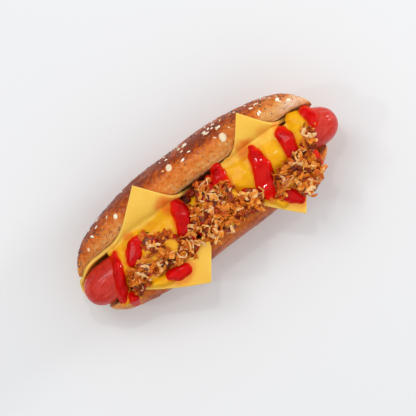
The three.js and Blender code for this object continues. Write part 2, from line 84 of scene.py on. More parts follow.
# The sauces seen from above, as strokes of points (x, y, half width) with a height and the width of the
# rounded edge.
MUSTARD = [
    (1.1, 3.2, [(-66, 1.3, 10), (-56, 0.5, 14), (-24, -0.5, 14), (-12, -3, 9.5), (8, -3, 9.5),
                (20, -0.7, 13.6), (40, -0.7, 14.6), (60, -0.9, 13.6), (68, -2.6, 11.4), (76, -1, 9.6)]),
    (2.3, 1.8, [(-71.4, 9.7, 2.4), (-69.8, 4.7, 2.7), (-69.3, 0, 2.1), (-71.7, -5.4, 1.7), (-75, -11.4, 1.6),
                (-79, -18, 1.5), (-83, -24, 1.3)]),
    (2.0, 2.4, [(-29, 8.5, 5.4), (-30.8, 0, 5), (-33.5, -6, 4)]),
    (1.9, 2.2, [(-52.3, 10.4, 3), (-50.3, 4.7, 3.4), (-49, -1, 3)]),
    (2.1, 3.0, [(26.8, 6.5, 7.2), (27.5, -2.7, 8), (30.2, -8.7, 6)]),
    (2.1, 3.0, [(54.3, 6.5, 6.2), (54.3, -3.4, 7), (53.6, -9.4, 6)]),
    (2.8, 1.9, [(75.4, 3.9, 2.4), (76.1, -3.1, 2.1), (74.4, -8.4, 2.2), (72.8, -14, 2), (71.8, -20, 1.9),
                (71.4, -25.4, 1.7)]),
    (3.2, 3.2, [(78.2, 8.4, 4.2), (81.6, 6.8, 4.4)]),
    (2.0, 2.0, [(-61.6, -24.1, 2.7), (-56.3, -26.1, 3.7), (-50.9, -27.5, 3.7)]),
    (1.8, 1.8, [(-84.4, -22.8, 2), (-79, -22, 2), (-75.7, -24.8, 2.7)]),
    (2.0, 2.2, [(34.2, -23.5, 3.7), (37.5, -28, 3), (40.2, -31.5, 4.4)]),
    (1.6, 1.6, [(-56.3, -6.7, 3.9), (-59, -12.7, 3.9)]),
    (1.6, 1.6, [(-41.5, -6.7, 3), (-44.2, -12, 3.4)]),
    (1.6, 1.6, [(-36.2, -11.4, 2.9), (-34.5, -7, 2.5)]),
    (1.6, 1.6, [(4.7, -19.4, 3), (1, -21, 2)]),
]
# The mustard beyond this line (x, y) is a thin film that shows the cheese.
THICK_MUSTARD = [(-70, 10), (-58, 11.5), (-52, 12.5), (-46, 10), (-38, 10.5), (-31, 12.5), (-24, 12),
                 (20, 10), (26, 9.1), (40, 7.7), (51, 6.8), (63, 5), (70, 4.8), (73, 7), (75, 20)]
KETCHUP = [
    (2.9, 3.2, [(-69.9, 8.0, 1.4), (-72.2, 5.1, 2.5), (-74.8, -1.6, 3.7), (-78.4, -9.2, 4.2),
                (-81.8, -16.4, 3.7), (-84.4, -20.9, 1.9)]),
    (2.3, 2.4, [(-53.6, 4.4, 4.2), (-56.8, 2.6, 5.6), (-60.4, -0.4, 5.5), (-63.6, -3.1, 4.2)]),
    (2.4, 2.6, [(-17.8, 9, 3.8), (-18.2, 5.6, 5.6), (-18.6, 2, 6.2), (-21.2, -3.2, 5.6), (-25.2, -8.2, 4.2)]),
    (2.3, 2.2, [(17.2, 12.6, 3.4), (16.4, 7.4, 5), (14.9, 0.6, 4.6), (14.7, -4.8, 3.4)]),
    (1.6, 1.8, [(17.4, -20.8, 3.2), (14, -17, 2)]),
    (2.0, 1.8, [(9.4, 9.6, 2.6), (10.6, 5.2, 3.4), (9, 1, 2.4)]),
    (1.6, 1.8, [(-7.4, -21.4, 3), (-9, -17, 2)]),
    (2.4, 2.4, [(44.2, 9.6, 2), (43.2, 4.7, 4.2), (42.3, -4.8, 6.6), (38.5, -14.3, 6.9), (37.1, -20.7, 5.7)]),
    (1.9, 2.2, [(40.2, -22, 4.2), (44.6, -27.5, 4.6), (47.9, -32.4, 4.7), (51, -37.5, 3)]),
    (1.6, 1.8, [(62.6, -37.0, 2.6), (58, -38.4, 2)]),
    (2.4, 2.4, [(66.4, 5.8, 4.2), (66.8, 1.2, 5.4), (65.7, -4.6, 5.1), (63.9, -11.2, 4.2), (62, -15, 2.7)]),
    (1.8, 1.5, [(67.7, -14.7, 2), (67, -20, 2.3)]),
    (1.8, 1.5, [(75.4, -12.7, 2), (75.3, -18.1, 2.8), (74.9, -22.6, 2.4), (74.4, -25, 2.4)]),
    (2.1, 1.8, [(87.6, 7.9, 3.2), (89.3, 3, 4.2), (87.5, -1.5, 3.2)]),
    (2.4, 2.4, [(-78.4, -22.6, 2.8), (-78.2, -24.8, 3.9)]),
    (2.4, 2.4, [(-48.6, -26.2, 3.7), (-44.5, -28.1, 4.8), (-39.3, -28.5, 4.6)]),
]
# Where ketchup has run into the cheese and the mustard: x, y, size, strength.
STAINS = [(-23, 12.5, 8.5, 1.0), (-20, 10, 6, 1.0), (-27, 15.5, 6, 0.7), (40.5, 12, 8.5, 1.0),
          (-56.3, 12, 5, 0.9), (57, 14, 6, 0.35), (-44, -31, 9, 0.35), (30, 13, 6, 0.3), (66, 9, 4.5, 0.7),
          (-62, 5, 4, 0.6)]
SAUCE_STEP = 0.45
SAUCE_X, SAUCE_Y = np.arange(-92, 97, SAUCE_STEP), np.arange(-44, 18, SAUCE_STEP)
LOW_GROUND, ABOVE_ALL = 20.0, 90  # heights below and above all that sauce lies on
FAR_OUTSIDE = -9.0  # the depth in a stroke of a point far from it
EDGE_THICKNESS = 0.9  # of the sauces
BRIDGED_CELLS = 8  # half the widest gap that sauce bridges, in cells of the grid
STEEPEST, HIGHEST_CELL = 1.7, 2.4  # the slope that still holds sauce, and the most that one cell rises

# The onion heaps' cores, as flattened balls (x, y, z, rx, ry, rz), and the flakes that show on them:
# x, y, length, width, direction and curl in degrees, and tone from 0, cream, to 1, burnt. Tones above 1,
# on flakes where a heap meets the bun, are burnt and darkened further as painted shade of the gap there.
# No loose flake starts in the bare places (x, y, radius), where mustard shows.
HEAPS = {
    "onions_left": {
        "core": [
            (-69, -15.5, 45, 6.5, 8.5, 5), (-59, -14, 46.5, 8, 10, 5), (-48, -8, 47.5, 9, 14, 5),
            (-37, -12, 47, 8.5, 13, 5), (-26, -17.5, 46, 6.5, 8, 5)],
        "bare": [(-54.6, -6.2, 4.6), (-50.2, -11.4, 3.4), (-37.3, -10.4, 4.4), (-58, -24, 4)],
        "flakes": [
            (-69.6, -9.2, 9, 3, 20, 20, 0.6), (-68.2, -16.3, 8, 2.8, 100, 30, 0.55),
            (-71.3, -16.4, 6.5, 2.6, -35, 20, 0.4), (-61.7, -5.4, 7, 3, -10, 20, 0.3),
            (-45, -3.7, 11, 3.6, -5, 15, 0.02), (-49.6, -1.3, 5.5, 2.6, 80, 10, 0.05),
            (-37.5, 5.7, 8.5, 3.5, -20, 40, 0.15), (-44.5, 7.5, 10, 5, 5, 20, 1.35),
            (-39.5, -0.6, 9, 4, -45, 30, 0.35), (-51.6, -19.8, 10.5, 3, 15, 25, 0.25),
            (-55, -14.6, 10, 4.4, 25, 40, 0.45), (-37.5, -21, 11, 5, 15, 30, 0.4),
            (-24.8, -15.5, 20, 8.4, 64, 25, 0.2), (-56.3, -7.4, 8.5, 6, 10, 20, 0.3),
            (-45.5, -12, 9, 5, -30, 40, 0.5), (-64, -20, 8, 4, 10, 40, 0.7), (-33, -4, 8, 4, 70, 40, 0.5),
            (-30, -22, 8, 4, 30, 40, 0.6)],
    },
    "onions_middle": {
        "core": [
            (-10, -11, 47, 8.5, 14, 5.5), (2, -4, 48, 9.5, 16.5, 6), (13, -11, 47.5, 8.5, 15, 5.5),
            (3, -20, 46.5, 10, 7, 5.5), (24, -18, 46.5, 7.5, 10, 5.5)],
        "bare": [(4.1, -20.4, 3.2), (-4.2, -3.2, 2.6), (18, -9, 3)],
        "flakes": [
            (4.7, 9.4, 13, 5, 5, 20, 0.1), (-8.4, 9, 13, 7, 0, 20, 1.4), (-4, 10.5, 8, 5, 40, 20, 1.2),
            (-12, 5, 7, 4, 60, 30, 1.1), (-1.2, 6, 9, 3.4, 30, 40, 0.3), (-8, -2, 7.5, 5, 10, 30, 0.35),
            (2.1, 0.6, 5.5, 3, 80, 20, 0.1), (9.4, -0.7, 13, 3.6, -50, 35, 0.2),
            (-1.7, -7, 6.5, 5.2, 20, 20, 0.12), (13, 3.6, 9, 3, -15, 40, 0.45),
            (6, -10.5, 12, 5, -45, 30, 0.25), (-7.2, -12.2, 7, 4, 10, 30, 0.55),
            (-1, -13.4, 6.5, 3, -20, 40, 0.2), (11, -22.5, 17, 2.8, 0, 290, 0.55),
            (4, -20.6, 8, 6, 40, 20, 0.35), (-10.7, -23.6, 13, 4, -75, 25, 0.2),
            (-16, -18, 6.5, 3.6, 20, 30, 0.25), (16.5, -15.5, 9, 4, -10, 30, 0.5),
            (23.4, -12.4, 9.5, 4, -50, 20, 0.15), (28, -16, 6.5, 4.6, 20, 30, 0.1),
            (26, -24, 10.5, 7, 60, 30, 0.25), (21.8, -19.8, 9, 4.4, 60, 40, 0.4),
            (-13, -8, 7, 4, 60, 40, 0.7), (14, -7, 7.5, 4, 30, 40, 0.75)],
    },
    "onions_right": {
        "core": [
            (52, -20, 47, 8, 8, 5.5), (62, -22, 47.5, 9.5, 11, 6), (60, -33, 46.5, 9, 6, 5),
            (70, -25, 45.5, 6.5, 9.5, 5.5), (74, -12, 46, 6, 6, 4), (80, -6, 46.8, 5.5, 6.5, 3.5),
            (42, -25, 47.5, 7, 5, 3.6)],
        "bare": [(71.5, -19, 2.8), (50, -27.5, 3)],
        "flakes": [
            (47.5, -18.5, 14, 2.6, 90, 200, 0.45), (55.3, -14.8, 12, 5, 10, 25, 0.4),
            (62, -16.5, 12, 4.4, -60, 20, 0.1), (66.5, -13.9, 9, 3.4, 50, 20, 0.2),
            (53.6, -22.5, 20, 3, 5, 70, 0.2), (67.5, -23.7, 10.5, 6, 20, 30, 0.2),
            (61.5, -25.4, 9, 5, 0, 30, 0.35), (60.6, -34, 13, 8.6, 30, 20, 0.08),
            (57, -30.5, 8.5, 6, -20, 20, 0.3), (69, -30.6, 9, 5, -70, 25, 0.3),
            (75, -30.2, 9, 4.4, -30, 20, 0.25), (36.5, -29, 8, 3, -35, 30, 0.2),
            (81, -5, 18, 4.6, -90, 190, 0.02), (79, -11.8, 9, 3, -10, 30, 0.25), (73, -18, 8, 4, 80, 30, 0.4),
            (57, -20, 9, 4, -40, 30, 0.8), (43, -24, 8, 4, 20, 30, 0.5)],
    },
}
HEAP_BASE, HIGHEST = 43.0, 56.2  # the lowest that flakes lie, and what nothing on the heaps rises above
FLAKES_PER_AREA, CORE_VOXEL = 0.28, 0.6

# Seeds on the left lobe, as in the part: white flakes (x, y, width) and sesame seeds.
WHITE_FLAKES = [(-7.4, 32.2, 6), (33.5, 26.8, 6.6), (-55, 27.4, 4.2), (10, 38.2, 4.6), (77.6, 25.6, 3.6),
                (83.5, 20.4, 3.4)]
SESAME = {"seed": 5, "count": 42, "gathered": 0.4, "gathered_x": (22, 62), "x": (-84, 86), "y": (27, 39.4),
          "size": (1.8, 1.15, 0.7)}
SEEDED_AROUND = (0.43, 0.63)
# The slices' left corners seen from above, where no seed lies: tip, how they widen to -X and +X, margin.
FLAPS = [((-33.5, 38.4), 1.35, 0.87, 3), ((50.2, 34.8), 1.15, 0.8, 3)]
SMALL_SESAME = {"tried": 75, "x": (-12, 82), "size": (1.5, 1.0, 0.6), "vary": (0.75, 1.1), "sunk": 0.3,
                "taper": 0.4, "rough": 0.14}
POPPY = {"tried": 1105, "x": (-95, 91), "size": (0.58, 0.47, 0.44), "vary": (0.8, 1.15), "sunk": 0.25,
         "taper": 0, "rough": 0.1}
BROAD_SEED = 1.3  # the half width from which a seed is a flake

CRUMB_FROM, CRUMB_TO, CRUMB_EDGE = 0.035, 0.42, 0.006  # the cut faces, between the two crests
SLICE_SIDE = 91  # about a slice's side, for spacing its points
HASH_AXES, HASH_SEED, HASH_STIR = np.array((73856093, 19349663, 83492791)), 2654435761, 1274126177

# The photograph looks straight down. Its +X runs up to the right at this angle, one of its picture
# elements is this many millimetres at the height of the food, and its middle is above this point.
PHOTO_TURN, PHOTO_SCALE, PHOTO_SIZE, PHOTO_MIDDLE = 36.75, 0.67, 416, (-2.4, -5.0)
FOOD_HEIGHT, CAMERA_DISTANCE, SENSOR = 28, 2600, 36
FLOOR_REACH = 3.0  # metres


def seeded_random(seed):
    """Numbers from 0 to 1, the same as the part's."""
    state = seed

    def draw():
        nonlocal state
        state = state + 0x6D2B79F5 & 0xFFFFFFFF
        mixed = (state ^ state >> 15) * (1 | state) & 0xFFFFFFFF
        mixed = (mixed + ((mixed ^ mixed >> 7) * (61 | mixed) & 0xFFFFFFFF) & 0xFFFFFFFF) ^ mixed
        return (mixed ^ mixed >> 14) / 4294967296

    return draw


def smoothstep(low, high, value):
    """0 up to low, 1 from high, and smooth between them."""
    share = np.clip((value - low) / (high - low), 0, 1)
    return share * share * (3 - 2 * share)


# ---- Noise ----
def value_noise(points, seed):
    """Smooth noise from -1 to 1 with cells one unit wide."""
    cell = np.floor(points).astype(np.int64)
    part = points - cell
    part = part * part * (3 - 2 * part)
    total = np.zeros(len(points))
    for corner in range(8):
        step = np.array([corner & 1, corner >> 1 & 1, corner >> 2 & 1])
        mixed = np.bitwise_xor.reduce((cell + step) * HASH_AXES, axis=1) ^ seed * HASH_SEED
        mixed = mixed & 0xFFFFFFFF
        mixed = (mixed ^ mixed >> 13) * HASH_STIR & 0xFFFFFFFF
        mixed = (mixed ^ mixed >> 16) & 0xFFFF
        weight = np.prod(np.where(step, part, 1 - part), axis=1)
        total += weight * (mixed / 32767.5 - 1)
    return total


def fractal(points, size, octaves, seed):
    """Noise whose largest lumps are about size across."""
    total = np.zeros(len(points))
    for octave in range(octaves):
        total += value_noise(points * (2**octave / size) + 17.3 * octave, seed + octave) / 2**octave
    return total / 1.6


# ---- Meshes ----
def shift_to_row_frame():
    """How far the row frame lies from the construction frame, in millimetres."""
    sausage_low, sausage_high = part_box("sausage")
    share, around = np.meshgrid(np.sin((0.5 - np.linspace(0, 1, 45)) * math.pi), np.arange(20) / 20)
    outermost = bun_points(share.ravel(), around.ravel())[:, 1].min()
    return np.array([(sausage_low.x + sausage_high.x) * 500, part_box("bun")[0].y * 1000 - outermost, 0.0])


def xyz(x, y, z):
    """Points from their coordinates, any of which may be one number for all."""
    return np.stack(np.broadcast_arrays(x, y, z), axis=-1)


def add_object(name, data):
    item = bpy.data.objects.new(name, data)
    bpy.context.scene.collection.objects.link(item)
    return item


def set_values(mesh, label, values):
    """Gives each point of a mesh a value that a material can read."""
    mesh.attributes.new(label, "FLOAT", "POINT").data.foreach_set("value", np.asarray(values, np.float32))


def add_smooth(name, mesh):
    mesh.polygons.foreach_set("use_smooth", [True] * len(mesh.polygons))
    return add_object(name, mesh)


def add_mesh(name, points, faces, weld=None, **attributes):
    """A new object from points in construction millimetres, smooth-shaded, normals out."""
    mesh = bpy.data.meshes.new(name)
    mesh.from_pydata(((np.asarray(points) + SHIFT) * 0.001).tolist(), [], faces)
    for label, values in attributes.items():
        set_values(mesh, label, values)
    work = bmesh.new()
    work.from_mesh(mesh)
    if weld:
        bmesh.ops.remove_doubles(work, verts=work.verts, dist=weld * 0.001)
    bmesh.ops.recalc_face_normals(work, faces=work.faces)
    work.to_mesh(mesh)
    work.free()
    return add_smooth(name, mesh)


def grid_faces(rows, columns, wrap_columns, start=0):
    """Faces of a grid of points, numbered row by row from start."""
    faces = []
    for i in range(rows - 1):
        for j in range(columns if wrap_columns else columns - 1):
            k = (j + 1) % columns
            faces.append((start + i * columns + j, start + i * columns + k,
                          start + (i + 1) * columns + k, start + (i + 1) * columns + j))
    return faces


def sheet_faces(rows, columns):
    """Faces of a closed sheet, whose points are the upper grid and then the under one."""
    count = rows * columns
    faces = grid_faces(rows, columns, False)
    faces += [tuple(count + i for i in face[::-1]) for face in faces]
    rim = [*range(columns), *range(2 * columns - 1, count, columns),
           *range(count - 2, count - columns - 1, -1), *range(count - 2 * columns, 0, -columns)]
    return faces + [(here, ahead, count + ahead, count + here) for here, ahead in zip(rim, rim[1:] + rim[:1])]


# ---- Bun ----
def bun_strip(around):
    """The centre and half length of the bun at each place round its section."""
    leftness = 0.5 - 0.5 * np.cos(around * 2 * math.pi)
    (left_centre, left_half), (right_centre, right_half) = BUN_LOBES["left"], BUN_LOBES["right"]
    return (right_centre + leftness * (left_centre - right_centre),
            right_half + leftness * (left_half - right_half) - BUN_TUCK * np.sin(around * 2 * math.pi) ** 4)


def bun_share(x, around):
    """Where x is on the way from the bun's middle to its ends, which are at -1 and 1."""
    centre, half = bun_strip(around)
    return (x - centre) / half


def bun_controls(crest, cut, crust):
    """Control points round the section: right crest, cut, left crest and crust."""
    return np.array([BUN_CRESTS["right"][crest], *[row[cut] for row in BUN_WALLS], BUN_CRESTS["left"][crest],
                     *[row[crust] for row in reversed(BUN_WALLS)]], float)


BUN_FULL, BUN_NOSE = bun_controls(0, 0, 1), bun_controls(1, 2, 2)


def bun_section(share, around):
    """(y, z) of the section curve for arrays of share and around."""
    size = np.minimum(1, np.abs(share))
    pinched = smoothstep(BUN_PINCH["from"], 1, size)
    fullness = {lobe: (1 - size**power) ** (1 / power) for lobe, powers in BUN_ROUNDNESS.items()
                for power in [np.where(share < 0, *powers)]}
    count = len(BUN_FULL)
    place = (around % 1) * count
    first = np.floor(place).astype(int)
    t = (place - first)[:, None]

    def control(offset):
        i = (first + offset) % count
        on_left = BUN_NOSE[i, 0] > 0
        nose = BUN_NOSE[i].copy()
        nose[:, 0] *= 1 - np.where(on_left, BUN_PINCH["left"], BUN_PINCH["right"]) * pinched
        return nose + (BUN_FULL[i] - nose) * np.where(on_left, fullness["left"], fullness["right"])[:, None]

    before, here, ahead, after = control(-1), control(0), control(1), control(2)
    slope0, slope1 = (ahead - before) / 2, (after - here) / 2
    return (here + slope0 * t + (-3 * here + 3 * ahead - 2 * slope0 - slope1) * t**2
            + (2 * here - 2 * ahead + slope0 + slope1) * t**3)


def bun_points(share, around):
    """Points of the bun's surface with its gentle lumps, as in the part."""
    centre, half = bun_strip(around)
    y, z = bun_section(share, around).T
    x = centre + half * share
    lumps = 0.45 * np.sin(x / 13 + z / 19) * np.sin(y / 11 + 1) + 0.3 * np.sin(x / 7.3 - z / 9 + 2)
    lumps += np.where(y < 0, BUN_SWELL[2] * np.exp(-(((x - BUN_SWELL[0]) / BUN_SWELL[1]) ** 2)), 0)
    fade = np.where(around > 0.5, np.sin(np.clip((around - 0.5) * 2, 0, 1) * math.pi) * (1 - share**4), 0)
    y = y + np.sign(y) * fade * lumps
    return np.stack([x, y, np.maximum(z, 0)], axis=1)


def surface_normals(points, rows, columns):
    """Normals of a grid of points that wraps round its columns."""
    grid = points.reshape(rows, columns, 3)
    across = np.roll(grid, -1, axis=1) - np.roll(grid, 1, axis=1)
    along = np.gradient(grid, axis=0)
    normals = np.cross(across, along)
    normals /= np.maximum(np.linalg.norm(normals, axis=2, keepdims=True), 1e-9)
    return normals.reshape(-1, 3)


def spot(x, y, middle_x, middle_y, reach_x, reach_y):
    """1 in the middle of a soft oval spot, falling to 0 beyond its reach."""
    return np.exp(-(((x - middle_x) / reach_x) ** 2) - ((y - middle_y) / reach_y) ** 2)


def make_bun():
    ends = 1 - 0.07 * np.linspace(0, 1, 30) ** 2
    share = np.concatenate([ends, np.linspace(0.93, -0.93, 252)[1:-1], -ends[::-1]])
    around = np.concatenate([np.linspace(0.03, 0.415, 64, endpoint=False),
                             np.linspace(0.415, 1.03, 246, endpoint=False)])
    rows, columns = len(share), len(around)
    share_grid, around_grid = [v.ravel() for v in np.meshgrid(share, around, indexing="ij")]
    around_grid = around_grid % 1
    points = bun_points(share_grid, around_grid)
    normals = surface_normals(points, rows, columns)
    crests = points[:, 2] > 48
    normals *= np.sign(normals[crests, 2].mean())
    edge = around_grid + 0.005 * fractal(points, 5, 2, 3)
    crumb = (smoothstep(CRUMB_FROM - CRUMB_EDGE, CRUMB_FROM + CRUMB_EDGE, edge)
             * (1 - smoothstep(CRUMB_TO - CRUMB_EDGE, CRUMB_TO + CRUMB_EDGE, edge)))
    fade = np.clip((1 - np.abs(share_grid)) * 12, 0, 1) * smoothstep(0.2, 3, points[:, 2])
    wrinkled = smoothstep(-0.2, 0.5, fractal(points, 20, 2, 11))
    blisters = np.maximum(0, fractal(points, 3.6, 2, 29) + 0.1) ** 1.3 * (0.35 + 0.75 * wrinkled)
    rough = 0.3 * fractal(points, 14, 2, 7) + 0.22 * fractal(points, 4.5, 3, 5) + blisters
    creases = -0.45 * wrinkled * (1 - np.abs(fractal(points * [0.6, 1, 1], 4, 2, 13))) ** 5
    crumbly = 0.5 * fractal(points, 2.2, 3, 17)
    points = points + normals * (fade * (crumb * crumbly + (1 - crumb) * (rough + creases)))[:, None]
    points[:, 2] = np.maximum(points[:, 2], 0)
    x, y, z = points.T
    # How dark the crust is baked, on the seeded lobe and on the plain one.
    seeded = smoothstep(13, 40, y) * smoothstep(4, 20, z)
    seeded = seeded + 0.45 * smoothstep(-45, -85, x) * smoothstep(12, 24, y) * (1 - seeded)
    for paler in (smoothstep(-30, 0, x) * smoothstep(66, 40, x) * smoothstep(34, 28, y),
                  smoothstep(10, 60, x), smoothstep(35, 43, y)):
        seeded = seeded * (1 - 0.3 * paler)
    plain = 0.34 + 0.3 * smoothstep(-24, -34, y) - 0.25 * smoothstep(-60, -85, x)
    bake = np.where(y > 0, seeded, plain) * smoothstep(0, 16, z) + 0.08
    glare = spot(x, y, 84, 16.5, 9, 5) * (0.55 + 0.4 * fractal(points, 3, 3, 53))
    # Two pale spots painted onto the crust as highlight, near the +X end and near the -X end.
    flaky = spot(x, y, 72, 17, 14, 7) + 0.7 * spot(x, y, -62, 21, 18, 7)
    return add_mesh("bun_crust_and_crumb", points, grid_faces(rows, columns, True), weld=0.01,
                    crumb=crumb, bake=bake, wrinkled=wrinkled, glossy=smoothstep(0, 0.7, blisters),
                    flaky=flaky, glare=glare)


# ---- Seeds ----
def around_at(x, y):
    """The place round the section of the left lobe's surface at (x, y) seen from above."""
    lowest, highest = SEEDED_AROUND
    for _ in range(20):
        middle = (lowest + highest) / 2
        if bun_points(np.array([bun_share(x, middle)]), np.array([middle]))[0, 1] < y:
            lowest = middle
        else:
            highest = middle
    return lowest


def under_flap(x, y):
    """Whether (x, y) is under a slice's left corner."""
    return any(0 < tip[1] + margin - y and tip[0] - margin - (tip[1] + margin - y) * back < x
               < tip[0] + margin + (tip[1] + margin - y) * front for tip, back, front, margin in FLAPS)


def seed_places():
    """Places (x, y, half sizes, turn) of the seeds, the same as in the part."""
    draw = seeded_random(SESAME["seed"])
    places = [(x, y, (size / 2, size * 0.42, 0.9)) for x, y, size in WHITE_FLAKES]
    for _ in range(SESAME["count"]):
        low, high = SESAME["gathered_x"] if draw() < SESAME["gathered"] else SESAME["x"]
        x = low + (high - low) * draw()
        y = SESAME["y"][1] + (SESAME["y"][0] - SESAME["y"][1]) * draw() ** 1.6 - 10 * (abs(x) / 90) ** 3
        clear = all(math.hypot(x - fx, y - fy) > size / 2 + 2 for fx, fy, size in WHITE_FLAKES)
        if not under_flap(x, y):
            places.append((x, y, SESAME["size"] if clear else None))
    return [place for place in [(*place, draw() * math.pi) for place in places] if place[2]]


def crust_frame(share, around):
    """A point of the crust and the direction out of it."""
    places = bun_points(np.array([share, share + 0.01, share]), np.array([around, around, around + 0.004]))
    outward = np.cross(places[2] - places[0], places[1] - places[0])
    return places[0], outward / np.linalg.norm(outward)


def turned(outward, spin):
    """A rotation that stands +Z along outward, after a spin about it."""
    return np.array((Vector(outward).to_track_quat("Z", "Y").to_matrix() @ Matrix.Rotation(spin, 3, "Z")))


def ball_points(columns, rows):
    """Points and faces of a ball of radius 1."""
    points = [(0, 0, 1)]
    for i in range(1, rows):
        for j in range(columns):
            lean, turn = math.pi * i / rows, 2 * math.pi * j / columns
            points.append((math.sin(lean) * math.cos(turn), math.sin(lean) * math.sin(turn), math.cos(lean)))
    points.append((0, 0, -1))
    faces = [(0, 1 + j, 1 + (j + 1) % columns) for j in range(columns)]
    faces += grid_faces(rows - 1, columns, True, 1)
    last = 1 + (rows - 1) * columns
    faces += [(last, last - columns + (j + 1) % columns, last - columns + j) for j in range(columns)]
    return np.array(points), faces


class Batch:
    """Collects many small shapes into one mesh, each with one value of every attribute."""

    def __init__(self):
        self.points, self.faces, self.values = [], [], {}
        self.count = 0

    def add(self, points, faces, **values):
        self.faces += [tuple(self.count + i for i in face) for face in faces]
        self.points.append(points)
        self.count += len(points)
        for label, value in values.items():
            self.values.setdefault(label, []).append(np.broadcast_to(value, len(points)))

    def build(self, name):
        attributes = {label: np.concatenate(values) for label, values in self.values.items()}
        return add_mesh(name, np.concatenate(self.points), self.faces, **attributes)


cheese_tops = []  # points of the slices' upper faces, where no seed may lie


def under_cheese(place, reach):
    near = np.abs(np.concatenate(cheese_tops)[:, :2] - place[:2]) < reach
    return bool(near.all(axis=1).any())


def make_seeds():
    """The part's own seeds, then small sesame seeds and poppy seeds spread over the seeded lobe."""
    random = np.random.default_rng(5)
    fine, coarse = ball_points(14, 9), ball_points(8, 5)
    pale, dark = Batch(), Batch()

    def lay(batch, place, outward, size, sunk, spin, taper, rough):
        ball, ball_faces = fine if batch is pale else coarse
        points = ball.copy()
        points[:, 1] *= 1 - taper * (points[:, 0] + 1) / 2
        points = points * size
        dents = [value_noise(points * 1.1 + place, k) for k in (1, 2, 3)]
        points += rough * min(size) * np.stack(dents, axis=1)
        points = points @ turned(outward, spin).T + place + outward * sunk
        batch.add(points, ball_faces, tone=random.random())

    for x, y, size, turn in seed_places():
        around = around_at(x, y)
        place, outward = crust_frame(bun_share(x, around), around)
        taper, rough = (0.1, 0.22) if size[1] > BROAD_SEED else (0.4, 0.14)
        lay(pale, place, outward, size, 0.35, turn, taper, rough)
    for kind in [SMALL_SESAME] * SMALL_SESAME["tried"] + [POPPY] * POPPY["tried"]:
        sesame = kind is SMALL_SESAME
        x = random.uniform(*kind["x"])
        share = random.random() ** 0.4
        scattered = random.random() < (0.45 if x < -50 else 0.12)
        around = random.uniform(0.43, 0.6) if scattered and not sesame else 0.46 + 0.2 * share
        along = bun_share(x, around)
        if abs(along) > 0.985:
            continue
        place, outward = crust_frame(along, around)
        if under_cheese(place, 0.9):
            continue
        size = np.array(kind["size"]) * random.uniform(*kind["vary"])
        lay(pale if sesame else dark, place, outward, size, kind["sunk"], random.random() * 6.3,
            kind["taper"], kind["rough"])
    return pale.build("sesame_and_seed_flakes"), dark.build("poppy_seeds")


# ---- Cheese ----
def flap(start, before, droop):
    """Points a millimetre apart that carry a line on from start, drooping."""
    step = (start - before) / np.linalg.norm(start - before)
    added = []
    for _ in range(FLAP_REACH):
        step = step - [0, droop]
        step /= np.linalg.norm(step)
        start = start + step
        added.append(start)
    return added


def cheese_line(x):
    """A slice's middle at x, as (y, z) from the right flap's end round the cut to the left flap's end, and
    the number of its point at the bottom of the cut."""
    samples = 352
    around = 0.5 * np.arange(samples + 1) / samples

    def at(turn):
        return bun_section(bun_share(x, turn), turn)

    tangent = at((around + 0.002) % 1) - at((around + 0.998) % 1)
    tangent /= np.linalg.norm(tangent, axis=1, keepdims=True)
    right = np.arange(samples + 1) < samples * CUT_BOTTOM
    keep = np.where(right, tangent[:, 1] <= FLAP_SLOPE, tangent[:, 1] >= -FLAP_SLOPE)
    offset = GAP + CHEESE_THICKNESS / 2
    line = (at(around) + offset * np.stack([-tangent[:, 1], tangent[:, 0]], axis=1))[keep]
    outer_right = flap(line[0], line[1], FLAP_DROOP["right"])[::-1]
    outer_left = flap(line[-1], line[-2], FLAP_DROOP["left"])
    return np.array([*outer_right, *line, *outer_left]), int((right & keep).sum()) + FLAP_REACH


def cheese_table():
    """The cheese line at each station: y, z and the upward normal, for every q, the way from the bottom."""
    kernel = np.hanning(13)[1:-1]
    kernel /= kernel.sum()
    table = []
    for x in STATIONS:
        line, bottom = cheese_line(x)
        reach = np.concatenate([[0], np.cumsum(np.linalg.norm(np.diff(line, axis=0), axis=1))])
        reach -= reach[bottom]
        y, z = [np.convolve(np.pad(np.interp(Q_STEPS, reach, values), 5, mode="reflect", reflect_type="odd"),
                            kernel, "valid") for values in line.T]
        dy, dz = np.gradient(y), np.gradient(z)
        size = np.maximum(np.hypot(dy, dz), 1e-9)
        table.append(np.stack([y, z, -dz / size, dy / size], axis=1))
    return np.array(table)


CUT_BOTTOM = 5 / (len(BUN_WALLS) + 1)  # where the bottom is on the way round the cut
STATIONS, Q_STEPS = np.linspace(-106, 100, 104), np.linspace(-76, 76, 305)
CHEESE_TABLE = cheese_table()


def cheese_at(x, q):
    """Bilinear look-up of the cheese table: columns y, z, normal y, normal z."""
    i = np.clip((x - STATIONS[0]) / (STATIONS[1] - STATIONS[0]), 0, len(STATIONS) - 1.001)
    j = np.clip((q - Q_STEPS[0]) / (Q_STEPS[1] - Q_STEPS[0]), 0, len(Q_STEPS) - 1.001)
    i0, j0 = i.astype(int), j.astype(int)
    a, b = (i - i0)[:, None], (j - j0)[:, None]
    return ((CHEESE_TABLE[i0, j0] * (1 - a) + CHEESE_TABLE[i0 + 1, j0] * a) * (1 - b)
            + (CHEESE_TABLE[i0, j0 + 1] * (1 - a) + CHEESE_TABLE[i0 + 1, j0 + 1] * a) * b)


def stroke_depth(stroke, x, y):
    """How far inside a stroke each point lies, negative outside."""
    depth = np.full(x.shape, FAR_OUTSIDE)
    for (x0, y0, r0), (x1, y1, r1) in zip(stroke, stroke[1:]):
        dx, dy = x1 - x0, y1 - y0
        along = np.clip(((x - x0) * dx + (y - y0) * dy) / (dx * dx + dy * dy), 0, 1)
        depth = np.maximum(depth, r0 + (r1 - r0) * along - np.hypot(x - x0 - dx * along, y - y0 - dy * along))
    return depth


def depth_in(strokes, x, y):
    """How far inside the nearest of many strokes each point lies."""
    return np.maximum.reduce([stroke_depth(stroke, x, y) for _, _, stroke in strokes])


